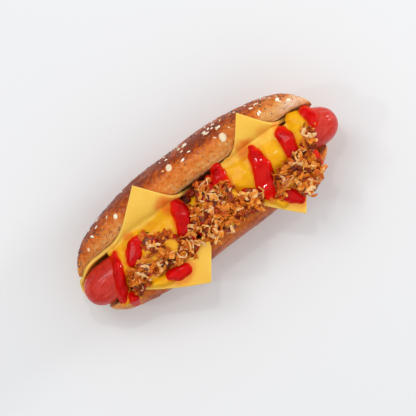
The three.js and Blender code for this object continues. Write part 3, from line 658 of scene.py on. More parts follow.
def stained(x, y, noise):
    """How much ketchup has run into what lies at (x, y)."""
    stain = np.zeros(x.shape)
    for middle_x, middle_y, size, strength in STAINS:
        gap = np.hypot(x - middle_x, y - middle_y) / size + 0.35 * noise
        stain = np.maximum(stain, strength * (1 - smoothstep(0.2, 1.1, gap)))
    return stain


def make_slice(name, slice_, lift):
    """A folded slice, which lift(x, q) raises off the cheese line."""
    near = np.array([0, 0.12, 0.35, 0.7, 1.2, 2.0]) / SLICE_SIDE
    steps = np.concatenate([near, np.linspace(3.2 / SLICE_SIDE, 1 - 3.2 / SLICE_SIDE, 96), 1 - near[::-1]])
    a, b = [v.ravel() for v in np.meshgrid(steps, steps, indexing="ij")]
    corners = np.array(slice_["corners"], float)
    a1, b1 = a[:, None], b[:, None]
    flat = ((corners[3] * (1 - a1) + corners[2] * a1) * (1 - b1)
            + (corners[0] * (1 - a1) + corners[1] * a1) * b1)
    flat += np.array(slice_["bulge"]["right"]) * (4 * a * (1 - a) * (1 - b) ** 2)[:, None]
    flat += np.array(slice_["bulge"]["left"]) * (17.6 * b * (1 - b) ** 6 * (1 - a) ** 2)[:, None]
    x, q = flat.T
    wave = 0.5 * fractal(xyz(x, q, 0), 26, 2, 23) * smoothstep(30, 60, np.abs(q))
    y, z, ny, nz = cheese_at(x, q).T
    rise = lift(x, q) + wave - 0.65 * smoothstep(3, 12, q) * smoothstep(-66, -76, x)
    middle = xyz(x, y + ny * rise, z + nz * rise)
    inset = np.minimum.reduce([a, 1 - a, b, 1 - b]) * SLICE_SIDE
    half = CHEESE_THICKNESS / 2 * (0.55 + 0.45 * np.sqrt(1 - (1 - np.clip(inset / 0.7, 0, 1)) ** 2))
    proud = xyz(0, ny, nz) * half[:, None]
    top, under = middle + proud, middle - proud
    stain = stained(top[:, 0], top[:, 1], fractal(top, 5, 2, 31))
    smear = smoothstep(-5, 0, depth_in(KETCHUP, top[:, 0], top[:, 1]) + 2 * fractal(top, 6, 2, 37))
    stain = np.maximum(stain, 0.6 * smear * smoothstep(6, 9, np.abs(top[:, 1])))
    cheese_tops.append(top[::3])
    return add_mesh(name, np.concatenate([top, under]), sheet_faces(len(steps), len(steps)),
                    # The slice turns deeper orange towards the bottom of the cut: painted shade.
                    deep=np.tile(1 - smoothstep(34, 52, np.abs(q)), 2), stain=np.tile(stain, 2),
                    # Its cut edges are painted paler, as highlight.
                    rim=np.tile(1 - smoothstep(0.2, 1.0, inset), 2))


def overlap_lift(x, q):
    """Raises the right slice's inner corner onto the left slice."""
    return (CHEESE_THICKNESS + GAP) * smoothstep(-8, -1, LEFT_SLICE["corners"][1][0] - x - 0.9 * np.abs(q))


# ---- Sausage and sauces ----
def sausage_axis(x):
    return [middle + bend * (x / 100) ** 2 for middle, bend in zip(SAUSAGE_AXIS, SAUSAGE_BEND)]


def make_sausage():
    rows, columns = 260, 150
    along = np.linspace(-0.5, 0.5, rows) * math.pi
    x = SAUSAGE_HALF_LENGTH * (0.55 * np.sin(along) + 0.45 * along / (math.pi / 2))
    into = np.maximum(0, np.abs(x) - (SAUSAGE_HALF_LENGTH - SAUSAGE_CAP)) / SAUSAGE_CAP
    radius = np.repeat(SAUSAGE_RADIUS * np.sqrt(np.maximum(0, 1 - into**2.2)), columns)
    angle = np.arange(columns) / columns * 2 * math.pi
    x, angle = [v.ravel() for v in np.meshgrid(x, angle, indexing="ij")]
    out = xyz(0, np.cos(angle), np.sin(angle))
    points = xyz(x, *sausage_axis(x)) + out * radius[:, None]
    puckered = smoothstep(78, 100, np.abs(x))
    folds = np.cos(9 * angle + 2.2 * fractal(xyz(x / 6, angle * 2, 0), 2, 2, 41))
    folds = -0.42 * np.maximum(0, folds) ** 3 * puckered * np.clip(radius / 5, 0, 1)
    skin = 0.16 * fractal(points * [0.5, 1, 1], 6, 3, 43)
    points += out * (folds + skin * np.clip(radius / 4, 0, 1))[:, None]
    return add_mesh("sausage_skin", points, grid_faces(rows, columns, True), weld=0.005, puckered=puckered)


def surface_points(piece):
    """A piece's points in construction millimetres."""
    points = np.empty(len(piece.data.vertices) * 3)
    piece.data.vertices.foreach_get("co", points)
    return points.reshape(-1, 3) * 1000 - SHIFT


def height_map(pieces):
    """The height of the pieces' top above each point of the sauce grid."""
    points, faces, count = [], [], 0
    for piece in pieces:
        points.append(surface_points(piece))
        faces += [tuple(count + i for i in face.vertices) for face in piece.data.polygons]
        count += len(points[-1])
    tree = BVHTree.FromPolygons(np.concatenate(points).tolist(), faces)
    heights = np.full((len(SAUCE_X), len(SAUCE_Y)), LOW_GROUND)
    for i, x in enumerate(SAUCE_X):
        for j, y in enumerate(SAUCE_Y):
            hit = tree.ray_cast((x, y, ABOVE_ALL), (0, 0, -1))[0]
            if hit is not None:
                heights[i, j] = max(LOW_GROUND, hit.z)
    return heights


def neighbours(values, reach, axis):
    """The values moved by every step up to reach cells to and fro along an axis."""
    padded = np.pad(values, [(reach, reach) if k == axis else (0, 0) for k in (0, 1)], mode="edge")
    return [np.take(padded, range(k, k + values.shape[axis]), axis=axis) for k in range(2 * reach + 1)]


def blurred(values, size):
    """Values with a soft blur of size millimetres."""
    reach = int(3 * size / SAUCE_STEP)
    kernel = np.exp(-0.5 * (np.arange(-reach, reach + 1) * SAUCE_STEP / size) ** 2)
    kernel /= kernel.sum()
    for axis in (0, 1):
        values = sum(weight * near for weight, near in zip(kernel, neighbours(values, reach, axis)))
    return values


def soften(values, held, size):
    """Values with a soft blur that takes in only the held ones."""
    return blurred(values * held, size) / np.maximum(blurred(held.astype(float), size), 0.001)


def spread(values, reach, pick):
    """The highest or lowest value within reach cells."""
    for axis in (0, 1):
        values = pick.reduce(neighbours(values, reach, axis))
    return values


def bridged_ground(ground, inside):
    """The ground as a sauce lies on it, calm and with its gaps bridged, and where it can hold sauce."""
    closed = spread(spread(ground, BRIDGED_CELLS, np.maximum), BRIDGED_CELLS, np.minimum)
    held = closed > LOW_GROUND + 5
    filled = soften(closed, held, 2.2)
    smooth = np.maximum(soften(ground, ground > LOW_GROUND + 5, 0.7), np.minimum(filled, ground + 26))
    calm = soften(smooth, held, 2.2)
    calm += soften(spread(np.maximum(0, ground + 0.1 - calm), 4, np.maximum), held, 1.8)
    smooth = np.maximum(smooth + (calm - smooth) * smoothstep(0.5, 2.5, inside), ground + 0.1)
    bridged = 0.85 * smoothstep(0.6, 3, closed - ground) * held
    smooth += (soften(smooth, held, 3.6) - smooth) * blurred(bridged, 1.2)
    return np.maximum(smooth, ground + 0.1), held


def slopes(values):
    """The slope along x and y at each point of the sauce grid."""
    return np.stack(np.gradient(values, SAUCE_STEP), axis=-1).reshape(-1, 2)


def sauce_shell(x, y, top, below, inside, held):
    """Points and faces of a closed layer of sauce. Its edge is moved out to where inside is -1, and follows
    the slope there."""
    kept = (inside > -1.0) & held
    corners = [np.s_[:-1, :-1], np.s_[1:, :-1], np.s_[1:, 1:], np.s_[:-1, 1:]]
    relief = np.ptp([top[corner] for corner in corners], axis=0)
    cells = np.all([kept[corner] for corner in corners], axis=0) & (relief < HIGHEST_CELL)
    numbers = np.arange(x.size).reshape(x.shape)
    quads = np.stack([numbers[corner][cells] for corner in corners], axis=1)
    edges = np.concatenate([quads[:, [k, (k + 1) % 4]] for k in range(4)])
    key = edges[:, 0] * x.size + edges[:, 1]
    rim = edges[~np.isin(key, edges[:, 1] * x.size + edges[:, 0])]
    walls = np.stack([rim[:, 1], rim[:, 0], rim[:, 0] + x.size, rim[:, 1] + x.size], axis=1)
    faces = np.concatenate([quads, quads[:, ::-1] + x.size, walls])
    points = np.concatenate([xyz(x, y, layer).reshape(-1, 3) for layer in (top, below)])
    uphill, lean = slopes(inside), slopes(top)
    steep = np.maximum(np.hypot(*uphill.T), 0.5)
    shift = np.clip((inside.ravel() + 1) / steep, 0, 0.42) / steep
    border = np.unique(rim[:, 0])
    move = -uphill[border] * shift[border, None]
    fall = np.clip((lean[border] * move).sum(axis=1), -1.2, 1.2)
    for side, thick in ((border, 0), (border + x.size, EDGE_THICKNESS)):
        points[side, :2] += move
        points[side, 2] = top.ravel()[border] + fall - thick
    return points, faces


def make_sauce(name, strokes, ground, seed, warp, other):
    """A sauce poured over the ground, and the ground with the sauce on it."""
    x, y = np.meshgrid(SAUCE_X, SAUCE_Y, indexing="ij")
    flat = xyz(x.ravel(), y.ravel(), 0)

    def noise(size, octaves, noise_seed):
        return fractal(flat, size, octaves, noise_seed).reshape(x.shape)

    warp_x, warp_y = [warp * noise(7, 3, seed + k) for k in (0, 9)]
    inside, height = np.full(x.shape, FAR_OUTSIDE), np.zeros(x.shape)
    for tall, edge, stroke in strokes:
        depth = stroke_depth(stroke, x + warp_x, y + warp_y)
        bead = tall * (1 - (1 - np.clip(depth / edge, 0, 1)) ** 2) ** 0.7
        inside, height = np.maximum(inside, depth), np.maximum(height, bead)
    smooth, held = bridged_ground(ground, inside)
    slope = np.hypot(*np.gradient(soften(smooth, held, 0.9), SAUCE_STEP))
    gentle = (held & (slope < STEEPEST)).astype(float)
    gentle = blurred(spread(spread(gentle, 4, np.maximum), 4, np.minimum), 1.3)
    inside = np.minimum(inside, 4 * (gentle - 0.6))
    height = height * (1 + 0.3 * noise(8, 2, seed + 3)) * smoothstep(-0.4, 1.2, inside)
    height += (blurred(height, 0.8) - height) * smoothstep(0.4, 1.2, inside)
    top = smooth + height - smoothstep(0, 0.9, -inside) * np.minimum(smooth - ground + 0.6, 1.5)
    below = np.minimum(np.maximum(ground - 0.8, smooth - 3), top - 0.2)
    points, faces = sauce_shell(x, y, top, below, inside, held)
    mixed = smoothstep(-2.2, 0.3, depth_in(other, x + warp_x, y + warp_y) + 0.9 * noise(5, 2, 77))
    beyond = y + warp_y - np.interp(x, *zip(*THICK_MUSTARD)) + 0.9 * noise(4, 2, 41)
    used, faces = np.unique(faces, return_inverse=True)
    masks = {"mixed": np.maximum(mixed, stained(x, y, noise(5, 2, 31))),
             "thin": 1 - smoothstep(0, 1.3, inside), "film": smoothstep(-1, 1, beyond)}
    masks = {label: np.tile(values.ravel(), 2)[used] for label, values in masks.items()}
    piece = add_mesh(name, points[used], faces.reshape(-1, 4).tolist(), **masks)
    return piece, np.where(inside > 0, np.maximum(top, ground), ground)


# ---- Fried onions ----
def heap_top(core, x, y):
    """The height of a heap's core above (x, y)."""
    top = HEAP_BASE
    for cx, cy, cz, rx, ry, rz in core:
        left = 1 - ((x - cx) / rx) ** 2 - ((y - cy) / ry) ** 2
        if left > 0:
            top = max(top, cz + rz * math.sqrt(left))
    return top


def flake(length, width, curl, seed):
    """One fried shred: a thin curled and twisted strip with ragged edges."""
    random = np.random.default_rng(seed)
    rows, columns = int(np.clip(length * 2.4, 12, 44)), int(np.clip(width * 2.6, 5, 14))
    t = np.linspace(-0.5, 0.5, rows)

    def drift(amount, size, which):
        return amount * value_noise(xyz(t * length / size + 50, which, seed % 97), seed)

    yaw = math.radians(curl) * t + drift(0.8, 3.4, 1)
    pitch = random.uniform(-1.6, 1.6) * t * min(1, length / 8) + drift(0.7, 2.8, 2)
    roll = random.uniform(-1.4, 1.4) * t + drift(1.0, 3.6, 3)
    ahead = xyz(np.cos(yaw) * np.cos(pitch), np.sin(yaw) * np.cos(pitch), np.sin(pitch))
    centre = np.cumsum(ahead, axis=0) * length / rows
    centre -= centre.mean(axis=0)
    level = xyz(-np.sin(yaw), np.cos(yaw), 0)
    side = level * np.cos(roll)[:, None] + np.cross(ahead, level) * np.sin(roll)[:, None]
    up = np.cross(ahead, side)
    taper = (1 - np.abs(2 * t) ** 4) ** 0.5
    left, right = [np.maximum(0.2, taper * (0.82 + drift(0.4, 2.1, k) + drift(0.2, 1.0, k + 2))) * width / 2
                   for k in (4, 5)]
    v = np.linspace(-1, 1, columns)
    offset = np.where(v < 0, v * left[:, None], v * right[:, None])
    cup = random.uniform(-0.45, 0.45) * width / 2
    torn = np.abs(2 * t)[:, None] ** 3 * 0.9 * value_noise(xyz(v * 1.9, seed % 31, 0), seed)
    middle = (centre[:, None] + side[:, None] * offset[..., None] + up[:, None] * (cup * v**2)[None, :, None]
              + ahead[:, None] * (torn * np.sign(t)[:, None])[..., None])
    rim = np.minimum((1 - np.abs(v))[None, :] * width / 2, ((0.5 - np.abs(t)) * length)[:, None])
    flat = middle.reshape(-1, 3)
    lumps = 0.3 * fractal(flat + seed % 53, 1.7, 2, seed + 5)
    lumps = lumps + 0.14 * fractal(flat + seed % 31, 0.8, 1, seed + 6)
    half = (random.uniform(0.42, 0.75) * np.sqrt(np.clip(rim / 0.6, 0.05, 1))).ravel() * (1 + 0.5 * lumps)
    ups = np.repeat(up, columns, axis=0)
    top, under = flat + ups * (half + lumps)[:, None], flat + ups * (lumps - half)[:, None]
    # 1 along a flake's edges, where its colour is painted paler as highlight.
    edge = np.tile(1 - np.clip(rim.ravel() / 0.8, 0, 1), 2)
    return np.concatenate([top, under]), sheet_faces(rows, columns), edge


# The kinds of loose flake: the share of flakes up to this kind, and ranges of length, width and curl.
FLAKE_KINDS = [(0.5, (5, 11), (1.8, 3.8), (-80, 80)), (0.78, (4, 8.5), (3.2, 6), (-40, 40)),
               (1, (10, 17), (1.4, 2.6), (90, 250))]


def make_heap(name, heap, seed):
    """The fried flakes of a heap: loose ones all over its core, then the listed ones."""
    random = np.random.default_rng(seed)
    core, batch = heap["core"], Batch()

    def lay(x, y, length, width, turn, curl, tone, height, tilt, index):
        points, faces, rim = flake(length, width, curl, seed * 1000 + index)
        lean = (Matrix.Rotation(math.radians(turn), 3, "Z") @ Matrix.Rotation(tilt[1], 3, "Y")
                @ Matrix.Rotation(tilt[0], 3, "X"))
        points = points @ np.array(lean).T
        height = min(height, HIGHEST - points[:, 2].max())
        batch.add(points + [x, y, height], faces, tone=tone, rim=rim)

    index = 0
    for cx, cy, cz, rx, ry, rz in core:
        for _ in range(int(rx * ry * FLAKES_PER_AREA)):
            distance, turn = math.sqrt(random.random()) * 1.04, random.random() * 6.283
            x, y = cx + rx * distance * math.cos(turn), cy + ry * distance * math.sin(turn)
            height = max(heap_top(core, x, y), cz - 1) - 0.2 + random.random() * 2
            kind = random.random()
            ranges = next(ranges for share, *ranges in FLAKE_KINDS if kind < share)
            length, width, curl = [random.uniform(*limits) for limits in ranges]
            if any(math.hypot(x - bx, y - by) < br for bx, by, br in heap["bare"]):
                continue
            lay(x, y, length, width, random.random() * 360, curl, random.beta(1.25, 1.35), height,
                (random.normal(0, 0.5), random.normal(0, 0.3)), index)
            index += 1
    for x, y, length, width, turn, curl, tone in heap["flakes"]:
        slope_x = (heap_top(core, x + 1.5, y) - heap_top(core, x - 1.5, y)) / 3
        slope_y = (heap_top(core, x, y + 1.5) - heap_top(core, x, y - 1.5)) / 3
        c, s = math.cos(math.radians(turn)), math.sin(math.radians(turn))
        along, aside = slope_x * c + slope_y * s, -slope_x * s + slope_y * c
        tilt = [math.atan(np.clip(slope, -0.7, 0.7)) * 0.7 for slope in (aside, -along)]
        lay(x, y, length, width, turn, curl, tone, heap_top(core, x, y) + 1.4, tilt, index)
        index += 1
    return batch.build(name + "_fried_flakes")


def make_core(name, heap, seed):
    """The lumpy core of a heap, in one skin."""
    batch = Batch()
    for index, place in enumerate(heap["core"]):
        points, faces = ball_points(40, 26)
        placed = points * place[3:] + place[:3]
        lumps = 0.75 * fractal(placed, 3.4, 3, seed + index)
        batch.add(placed + points * (lumps - 0.5)[:, None], faces)
    raw = batch.build(name + "_raw")
    remesh = raw.modifiers.new("remesh", "REMESH")
    remesh.mode, remesh.voxel_size = "VOXEL", CORE_VOXEL * 0.001
    mesh = bpy.data.meshes.new_from_object(raw.evaluated_get(bpy.context.evaluated_depsgraph_get()))
    bpy.data.objects.remove(raw)
    mesh.name = name + "_sauced_core"
    piece = add_smooth(mesh.name, mesh)
    points = surface_points(piece)
    wobble = 1.2 * fractal(points, 3, 2, 91)
    spilt = np.max([smoothstep(1, -1, np.hypot(points[:, 0] - x, points[:, 1] - y) - r - 0.8 + wobble)
                    for x, y, r in heap["bare"]], axis=0)
    set_values(mesh, "mustard", spilt)
    return piece


# ---- Materials ----
class Wire:
    """A node's output. Sums, differences and products of wires make Math nodes."""

    def __init__(self, look, socket):
        self.look, self.socket = look, socket

    def __add__(self, other):
        return self.look.node("Math", {0: self, 1: other}, operation="ADD")

    def __sub__(self, other):
        return self.look.node("Math", {0: self, 1: other}, operation="SUBTRACT")

    def __mul__(self, other):
        return self.look.node("Math", {0: self, 1: other}, operation="MULTIPLY")

    def clamped(self):
        self.socket.node.use_clamp = True
        return self


def fill_ramp(band, stops):
    """Gives a colour ramp its stops of place, red, green and blue."""
    while len(band.elements) < len(stops):
        band.elements.new(0.5)
    for element, (place, *colour) in zip(band.elements, stops):
        element.position, element.color = place, (*colour, 1)


class Look:
    """A node material with a Principled shader and short ways to add to it."""

    def __init__(self, name, **settings):
        self.material = bpy.data.materials.new(name)
        self.material.use_nodes = True
        self.tree = self.material.node_tree
        self.shader = self.tree.nodes["Principled BSDF"]
        self.coordinates = self.node("TexCoord", {}, "Object")
        for socket, value in settings.items():
            self.shader.inputs[socket.replace("_", " ")].default_value = value

    def link(self, source, target):
        if isinstance(source, Wire):
            self.tree.links.new(source.socket, target)
        else:
            target.default_value = source

    def node(self, kind, inputs, output=0, **settings):
        """The output of a new node; its inputs are wires or values."""
        node = self.tree.nodes.new("ShaderNode" + kind)
        for setting, value in settings.items():
            setattr(node, setting, value)
        for socket, source in inputs.items():
            self.link(source, node.inputs[socket])
        return Wire(self, node.outputs[output])

    def attribute(self, name):
        return self.node("Attribute", {}, "Fac", attribute_name=name)

    def noise(self, size, detail=3, rough=0.55, stretch=(1, 1, 1)):
        """Noise with features about size millimetres across."""
        place = self.node("Mapping", {"Scale": stretch, "Vector": self.coordinates})
        return self.node("TexNoise", {"Scale": 1000 / size, "Detail": detail, "Roughness": rough,
                                      "Vector": place}, "Fac")

    def cells(self, size, kind="F1"):
        return self.node("TexVoronoi", {"Scale": 1000 / size, "Vector": self.coordinates}, "Distance",
                         feature=kind)

    def between(self, value, low, high, to_low=0.0, to_high=1.0):
        """A smooth step from low to high, as a number from to_low to to_high."""
        return self.node("MapRange", {"From Min": low, "From Max": high, "To Min": to_low, "To Max": to_high,
                                      "Value": value}, interpolation_type="SMOOTHSTEP")

    def ramp(self, value, *stops):
        colour = self.node("ValToRGB", {0: value})
        fill_ramp(colour.socket.node.color_ramp, stops)
        return colour

    def mix(self, share, a, b):
        """Colours a and b, wires or (red, green, blue), mixed by share of b."""
        a, b = [(*colour, 1) if isinstance(colour, tuple) else colour for colour in (a, b)]
        return self.node("Mix", {0: share, 6: a, 7: b}, 2, data_type="RGBA")

    def finish(self, colour, *bumps, roughness=None):
        """The material with its colour, its roughness and bumps of (height, strength, millimetres)."""
        self.link(colour, self.shader.inputs["Base Color"])
        if roughness:
            self.link(roughness, self.shader.inputs["Roughness"])
        inputs = {}
        for height, strength, depth in bumps:
            inputs.update({"Strength": strength, "Distance": depth * 0.001, "Height": height})
            inputs = {"Normal": self.node("Bump", inputs)}
        if bumps:
            self.link(inputs["Normal"], self.shader.inputs["Normal"])
        return self.material


def bun_look():
    look = Look("baked_bun", Specular_IOR_Level=0.12, Coat_Weight=0.1, Coat_Roughness=0.14,
                Subsurface_Weight=0.05, Subsurface_Scale=0.003)
    crumb, flaky = look.attribute("crumb"), look.attribute("flaky")
    patches, fine, specks = look.noise(15, 4), look.noise(2.6, 4), look.noise(0.9, 2)
    shade = look.attribute("bake") + (patches - 0.5) + (fine - 0.5) * 1.2
    # The painted highlight spots make the crust paler.
    crust = look.ramp((shade - flaky * 0.3).clamped(), (0.0, 0.74, 0.36, 0.11), (0.22, 0.71, 0.23, 0.038),
                      (0.48, 0.65, 0.145, 0.011), (0.75, 0.44, 0.072, 0.007), (1.0, 0.25, 0.034, 0.004))
    crust = look.mix(look.between(specks, 0.6, 0.7, 0, 0.55), crust, (0.16, 0.028, 0.006))
    # Pale specks over the crust: flour dust, and painted sparkle of highlight, most of them on the painted
    # highlight spots.
    dust_and_sheen = (look.between(look.noise(1.3, 3), 0.56, 0.66, 0, 0.5)
             * (look.between(look.noise(7, 2), 0.45, 0.6) + flaky).clamped())
    crust = look.mix(dust_and_sheen * 0.5, crust, (0.88, 0.58, 0.40))
    crust = look.mix(look.attribute("glare"), crust, (0.93, 0.70, 0.58))
    pale = look.mix(look.between(fine, 0.35, 0.7), (0.76, 0.42, 0.15), (0.86, 0.58, 0.28))
    shine = look.between(patches, 0.3, 0.7, 0.36, 0.5) - look.attribute("glossy") * 0.12
    pores, cracks = look.cells(1.5) * crumb, look.noise(1.6, 3) * look.attribute("wrinkled")
    return look.finish(look.mix(crumb, crust, pale), (look.noise(4.5, 3), 0.55, 0.6), (fine, 0.6, 0.4),
                       (look.noise(0.8, 2), 0.4, 0.14), (pores, 0.8, 0.9), (cracks, 0.8, 0.6),
                       roughness=shine + crumb * 0.35)


def seed_look():
    look = Look("seed_hull", Roughness=0.42, Subsurface_Weight=0.15, Subsurface_Scale=0.001)
    tone = look.attribute("tone") + (look.noise(1.5, 2) - 0.5) * 0.7
    colour = look.ramp(tone, (0.0, 0.97, 0.90, 0.76), (0.6, 0.93, 0.80, 0.58), (1.0, 0.80, 0.56, 0.30))
    return look.finish(colour, (look.noise(0.8, 2), 0.3, 0.15))


def poppy_look():
    look = Look("poppy_hull", Roughness=0.55)
    tone = look.attribute("tone") + look.noise(0.6, 2) * 0.4
    colour = look.ramp(tone, (0.2, 0.012, 0.014, 0.022), (0.8, 0.03, 0.03, 0.042), (1.2, 0.09, 0.06, 0.05))
    return look.finish(colour, (look.cells(0.18), 0.6, 0.08))


def cheese_look():
    look = Look("cheese_slice_surface", Subsurface_Weight=0.35, Subsurface_Radius=(1.0, 0.6, 0.15),
                Subsurface_Scale=0.004, Specular_IOR_Level=0.2)
    base = look.mix(look.between(look.noise(18, 3), 0.3, 0.7), (0.89, 0.51, 0.062), (0.92, 0.56, 0.085))
    # Painted shade: deeper orange towards the bottom of the cut.
    base = look.mix(look.attribute("deep") * 0.5, base, (0.90, 0.46, 0.03))
    # Painted highlight: paler along the cut edges.
    base = look.mix(look.attribute("rim") * 0.35, base, (0.95, 0.68, 0.2))
    return look.finish(look.mix(look.attribute("stain"), base, (0.78, 0.12, 0.006)),
                       (look.noise(9, 2), 0.15, 0.4), (look.noise(1.1, 3), 0.12, 0.08),
                       roughness=look.between(look.noise(7, 3), 0.3, 0.7, 0.36, 0.5))


def sausage_look():
    look = Look("sausage_casing", Subsurface_Weight=0.15, Subsurface_Radius=(1.0, 0.3, 0.2),
                Subsurface_Scale=0.004, Specular_IOR_Level=0.1, Coat_Weight=0.35, Coat_Roughness=0.1)
    mottle, grain, puckered = look.noise(4, 4), look.noise(1.1, 3), look.attribute("puckered")
    base = look.ramp(look.noise(20, 3) * 0.6 + mottle * 0.4, (0.3, 0.38, 0.008, 0.005),
                     (0.5, 0.60, 0.026, 0.015), (0.7, 0.70, 0.070, 0.042))
    base = look.mix(look.between(grain, 0.6, 0.72, 0, 0.3), base, (0.74, 0.20, 0.14))
    # Painted shade: a net of dark lines on the puckered ends, for the shade in their fine wrinkles.
    painted_crease_shade = look.between(look.cells(2.2, "DISTANCE_TO_EDGE"), 0.0, 0.06, 0.2, 0) * puckered
    creased = look.noise(2.2, 3, 0.6, (0.3, 1, 1)) * (puckered * 0.8 + 0.25)
    return look.finish(look.mix(painted_crease_shade, base, (0.24, 0.01, 0.008)), (mottle, 0.25, 0.35), (creased, 0.8, 0.6),
                       (grain, 0.25, 0.1), roughness=look.between(mottle, 0.3, 0.7, 0.24, 0.4))


def ketchup_look():
    look = Look("ketchup", Specular_IOR_Level=0.01, Coat_Weight=0.28, Coat_Roughness=0.05,
                Subsurface_Weight=0.1, Subsurface_Radius=(1.0, 0.1, 0.05), Subsurface_Scale=0.003)
    broad = look.noise(9, 3)
    red = look.ramp(broad * 0.7 + look.noise(1.3, 2) * 0.3, (0.3, 0.38, 0.001, 0.001),
                    (0.5, 0.63, 0.0012, 0.001), (0.75, 0.80, 0.010, 0.001))
    thin = look.attribute("thin") * look.between(broad, 0.35, 0.6, 0, 0.6)
    return look.finish(look.mix(thin, red, (0.74, 0.05, 0.002)), (look.noise(3.2, 3), 0.5, 0.7),
                       (look.noise(0.9, 3), 0.15, 0.12), roughness=look.between(broad, 0.3, 0.7, 0.14, 0.26))


def mustard_look():
    look = Look("mustard", Specular_IOR_Level=0.04, Coat_Weight=0.2, Coat_Roughness=0.12,
                Subsurface_Weight=0.15, Subsurface_Radius=(1.0, 0.5, 0.1), Subsurface_Scale=0.003)
    broad = look.noise(8, 3)
    yellow = look.ramp(broad * 0.7 + look.noise(1.2, 2) * 0.3, (0.3, 0.80, 0.31, 0.003),
                       (0.52, 0.87, 0.42, 0.004), (0.75, 0.91, 0.51, 0.012))
    yellow = look.mix(look.attribute("film") * 0.9, yellow, (0.90, 0.54, 0.075))
    return look.finish(look.mix(look.attribute("mixed") * 0.75, yellow, (0.74, 0.1, 0.002)),
                       (look.noise(4, 3), 0.3, 0.5), (look.noise(0.7, 3), 0.15, 0.1),
                       roughness=look.between(broad, 0.3, 0.7, 0.26, 0.38))


def onion_look():
    look = Look("fried_onion_batter", Specular_IOR_Level=0.08, Coat_Weight=0.2, Coat_Roughness=0.12,
                Subsurface_Weight=0.1, Subsurface_Scale=0.002)
    patches, fine = look.noise(2.6, 4), look.noise(0.8, 3)
    shade = look.attribute("tone") * 0.95 + (patches - 0.5) * 0.9 + (fine - 0.5) * 0.5
    # Flake edges are painted paler, as highlight.
    base = look.ramp((shade - look.attribute("rim") * 0.1).clamped(), (0.0, 0.93, 0.61, 0.30),
                     (0.12, 0.88, 0.38, 0.06), (0.3, 0.78, 0.22, 0.014), (0.52, 0.57, 0.11, 0.005),
                     (0.75, 0.26, 0.03, 0.003), (1.0, 0.07, 0.008, 0.003))
    sauced = look.between(look.noise(11, 1), 0.54, 0.64, 0, 0.45)
    return look.finish(look.mix(sauced, base, (0.52, 0.035, 0.004)), (look.noise(1.4, 3), 0.7, 0.5),
                       (fine, 0.5, 0.25), roughness=look.between(patches, 0.3, 0.7, 0.26, 0.5))


def core_look():
    look = Look("sauce_soaked_onion_and_painted_shade", Roughness=0.35, Specular_IOR_Level=0.15, Coat_Weight=0.3,
                Coat_Roughness=0.1)
    # The core is very dark: painted shade in the gaps between the flakes, with red sauce and mustard patches
    # over it.
    fried = look.ramp(look.noise(2, 3), (0.3, 0.05, 0.009, 0.004), (0.5, 0.22, 0.04, 0.008),
                      (0.7, 0.50, 0.14, 0.018))
    sauced = look.mix(look.between(look.noise(6.5, 2), 0.48, 0.54), fried, (0.50, 0.006, 0.002))
    return look.finish(look.mix(look.attribute("mustard"), sauced, (0.86, 0.40, 0.006)),
                       (look.noise(2.4, 3), 0.7, 0.8), (look.noise(0.8, 3), 0.4, 0.2))


# ---- Putting it together ----
def dress(piece, material, slot, *nodes):
    piece.data.materials.clear()
    piece.data.materials.append(material)
    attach(piece, "root")
    if nodes:
        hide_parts(*nodes)


SHIFT = shift_to_row_frame()
cheese, onion, soaked = cheese_look(), onion_look(), core_look()
left_slice = make_slice("cheese_slice_left_folded", LEFT_SLICE, lambda x, q: 0 * x)
right_slice = make_slice("cheese_slice_right_folded", RIGHT_SLICE, overlap_lift)
bun = make_bun()
sesame, poppy = make_seeds()
sausage = make_sausage()
cores = {node: make_core(node, heap, 50 + number) for number, (node, heap) in enumerate(HEAPS.items())}
ground = height_map([left_slice, right_slice, bun, sausage])
mustard, ground = make_sauce("mustard_coat_and_stripes", MUSTARD, ground, 100, 0.6, KETCHUP)
ketchup, ground = make_sauce("ketchup_stripes", KETCHUP, ground, 200, 0.9, MUSTARD)
dress(left_slice, cheese, "cheese", "cheese_slice_left")
dress(right_slice, cheese, "cheese", "cheese_slice_right")
dress(bun, bun_look(), "bun", "bun")
dress(sesame, seed_look(), "bun")
dress(poppy, poppy_look(), "bun")
dress(sausage, sausage_look(), "sausage", "sausage")
dress(mustard, mustard_look(), "sausage")
dress(ketchup, ketchup_look(), "sausage")
for number, (node, heap) in enumerate(HEAPS.items()):
    dress(cores[node], soaked, "fried_onion", node)
    dress(make_heap(node, heap, 11 + number), onion, "fried_onion")


# ---- Floor, light and camera ----
def area_light(name, place, target, size, power):
    data = bpy.data.lights.new(name, "AREA")
    data.shape, data.size, data.energy = "DISK", size, power
    lamp = add_object(name, data)
    lamp.location = place
    lamp.rotation_euler = (Vector(target) - Vector(place)).to_track_quat("-Z", "Y").to_euler()


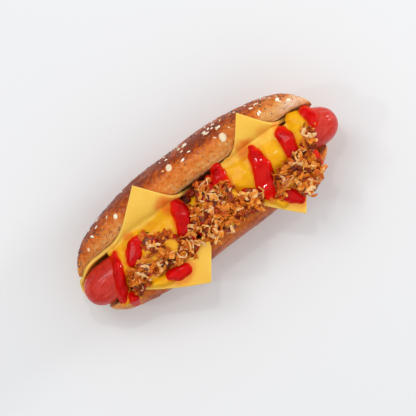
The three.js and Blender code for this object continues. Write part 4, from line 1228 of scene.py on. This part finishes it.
floor_mesh = bpy.data.meshes.new("floor")
floor_corners = [(x * FLOOR_REACH, y * FLOOR_REACH, 0) for x, y in ((-1, -1), (1, -1), (1, 1), (-1, 1))]
floor_mesh.from_pydata(floor_corners, [], [(0, 1, 2, 3)])
floor = add_object("floor", floor_mesh)
floor.location.z = -0.0002
table = Look("pale_table", Roughness=0.6, Specular_IOR_Level=0.2)
table_colour = table.mix(table.noise(400, 2), (0.80, 0.81, 0.825), (0.82, 0.83, 0.845))
floor_mesh.materials.append(table.finish(table_colour))

area_light("window", (-0.3, 1.3, 2.1), (0, 0, 0.02), 0.9, 9)
area_light("lamp_above", (0.12, 0.42, 1.25), (0, 0, 0.03), 0.075, 1.3)
area_light("lamp_left", (-0.7, 0.35, 1.0), (0, 0, 0.03), 0.075, 1.0)
area_light("lamp_right", (1.2, -0.05, 0.3), (0.03, 0, 0.03), 0.3, 6)

# The room is bright all round above the food, and dim straight overhead and near the floor.
world = bpy.data.worlds.new("soft_room")
world.use_nodes = True
sky = world.node_tree
direction = sky.nodes.new("ShaderNodeTexCoord").outputs["Generated"]
axes = sky.nodes.new("ShaderNodeSeparateXYZ")
band = sky.nodes.new("ShaderNodeValToRGB")
heights = [(0, 0.15), (0.35, 0.3), (0.62, 0.85), (0.78, 1.0), (0.92, 0.6), (1, 0.5)]
fill_ramp(band.color_ramp, [(height, *[strength] * 3) for height, strength in heights])
background = sky.nodes["Background"].inputs
background["Strength"].default_value = 1.1
sky.links.new(direction, axes.inputs[0])
sky.links.new(axes.outputs["Z"], band.inputs[0])
sky.links.new(band.outputs[0], background["Color"])
bpy.context.scene.world = world
bpy.context.scene.view_settings.view_transform = "Standard"

camera_data = bpy.data.cameras.new("camera")
camera_data.sensor_width = SENSOR
camera_data.lens = SENSOR * CAMERA_DISTANCE / (PHOTO_SCALE * PHOTO_SIZE)
camera = add_object("camera", camera_data)
camera.location = [(v + s) * 0.001 for v, s in zip((*PHOTO_MIDDLE, FOOD_HEIGHT + CAMERA_DISTANCE), SHIFT)]
camera.rotation_euler = (0, 0, math.radians(-PHOTO_TURN))
bpy.context.scene.camera = camera


def plain(box):
    return [[round(v, 6) for v in corner] for corner in box]
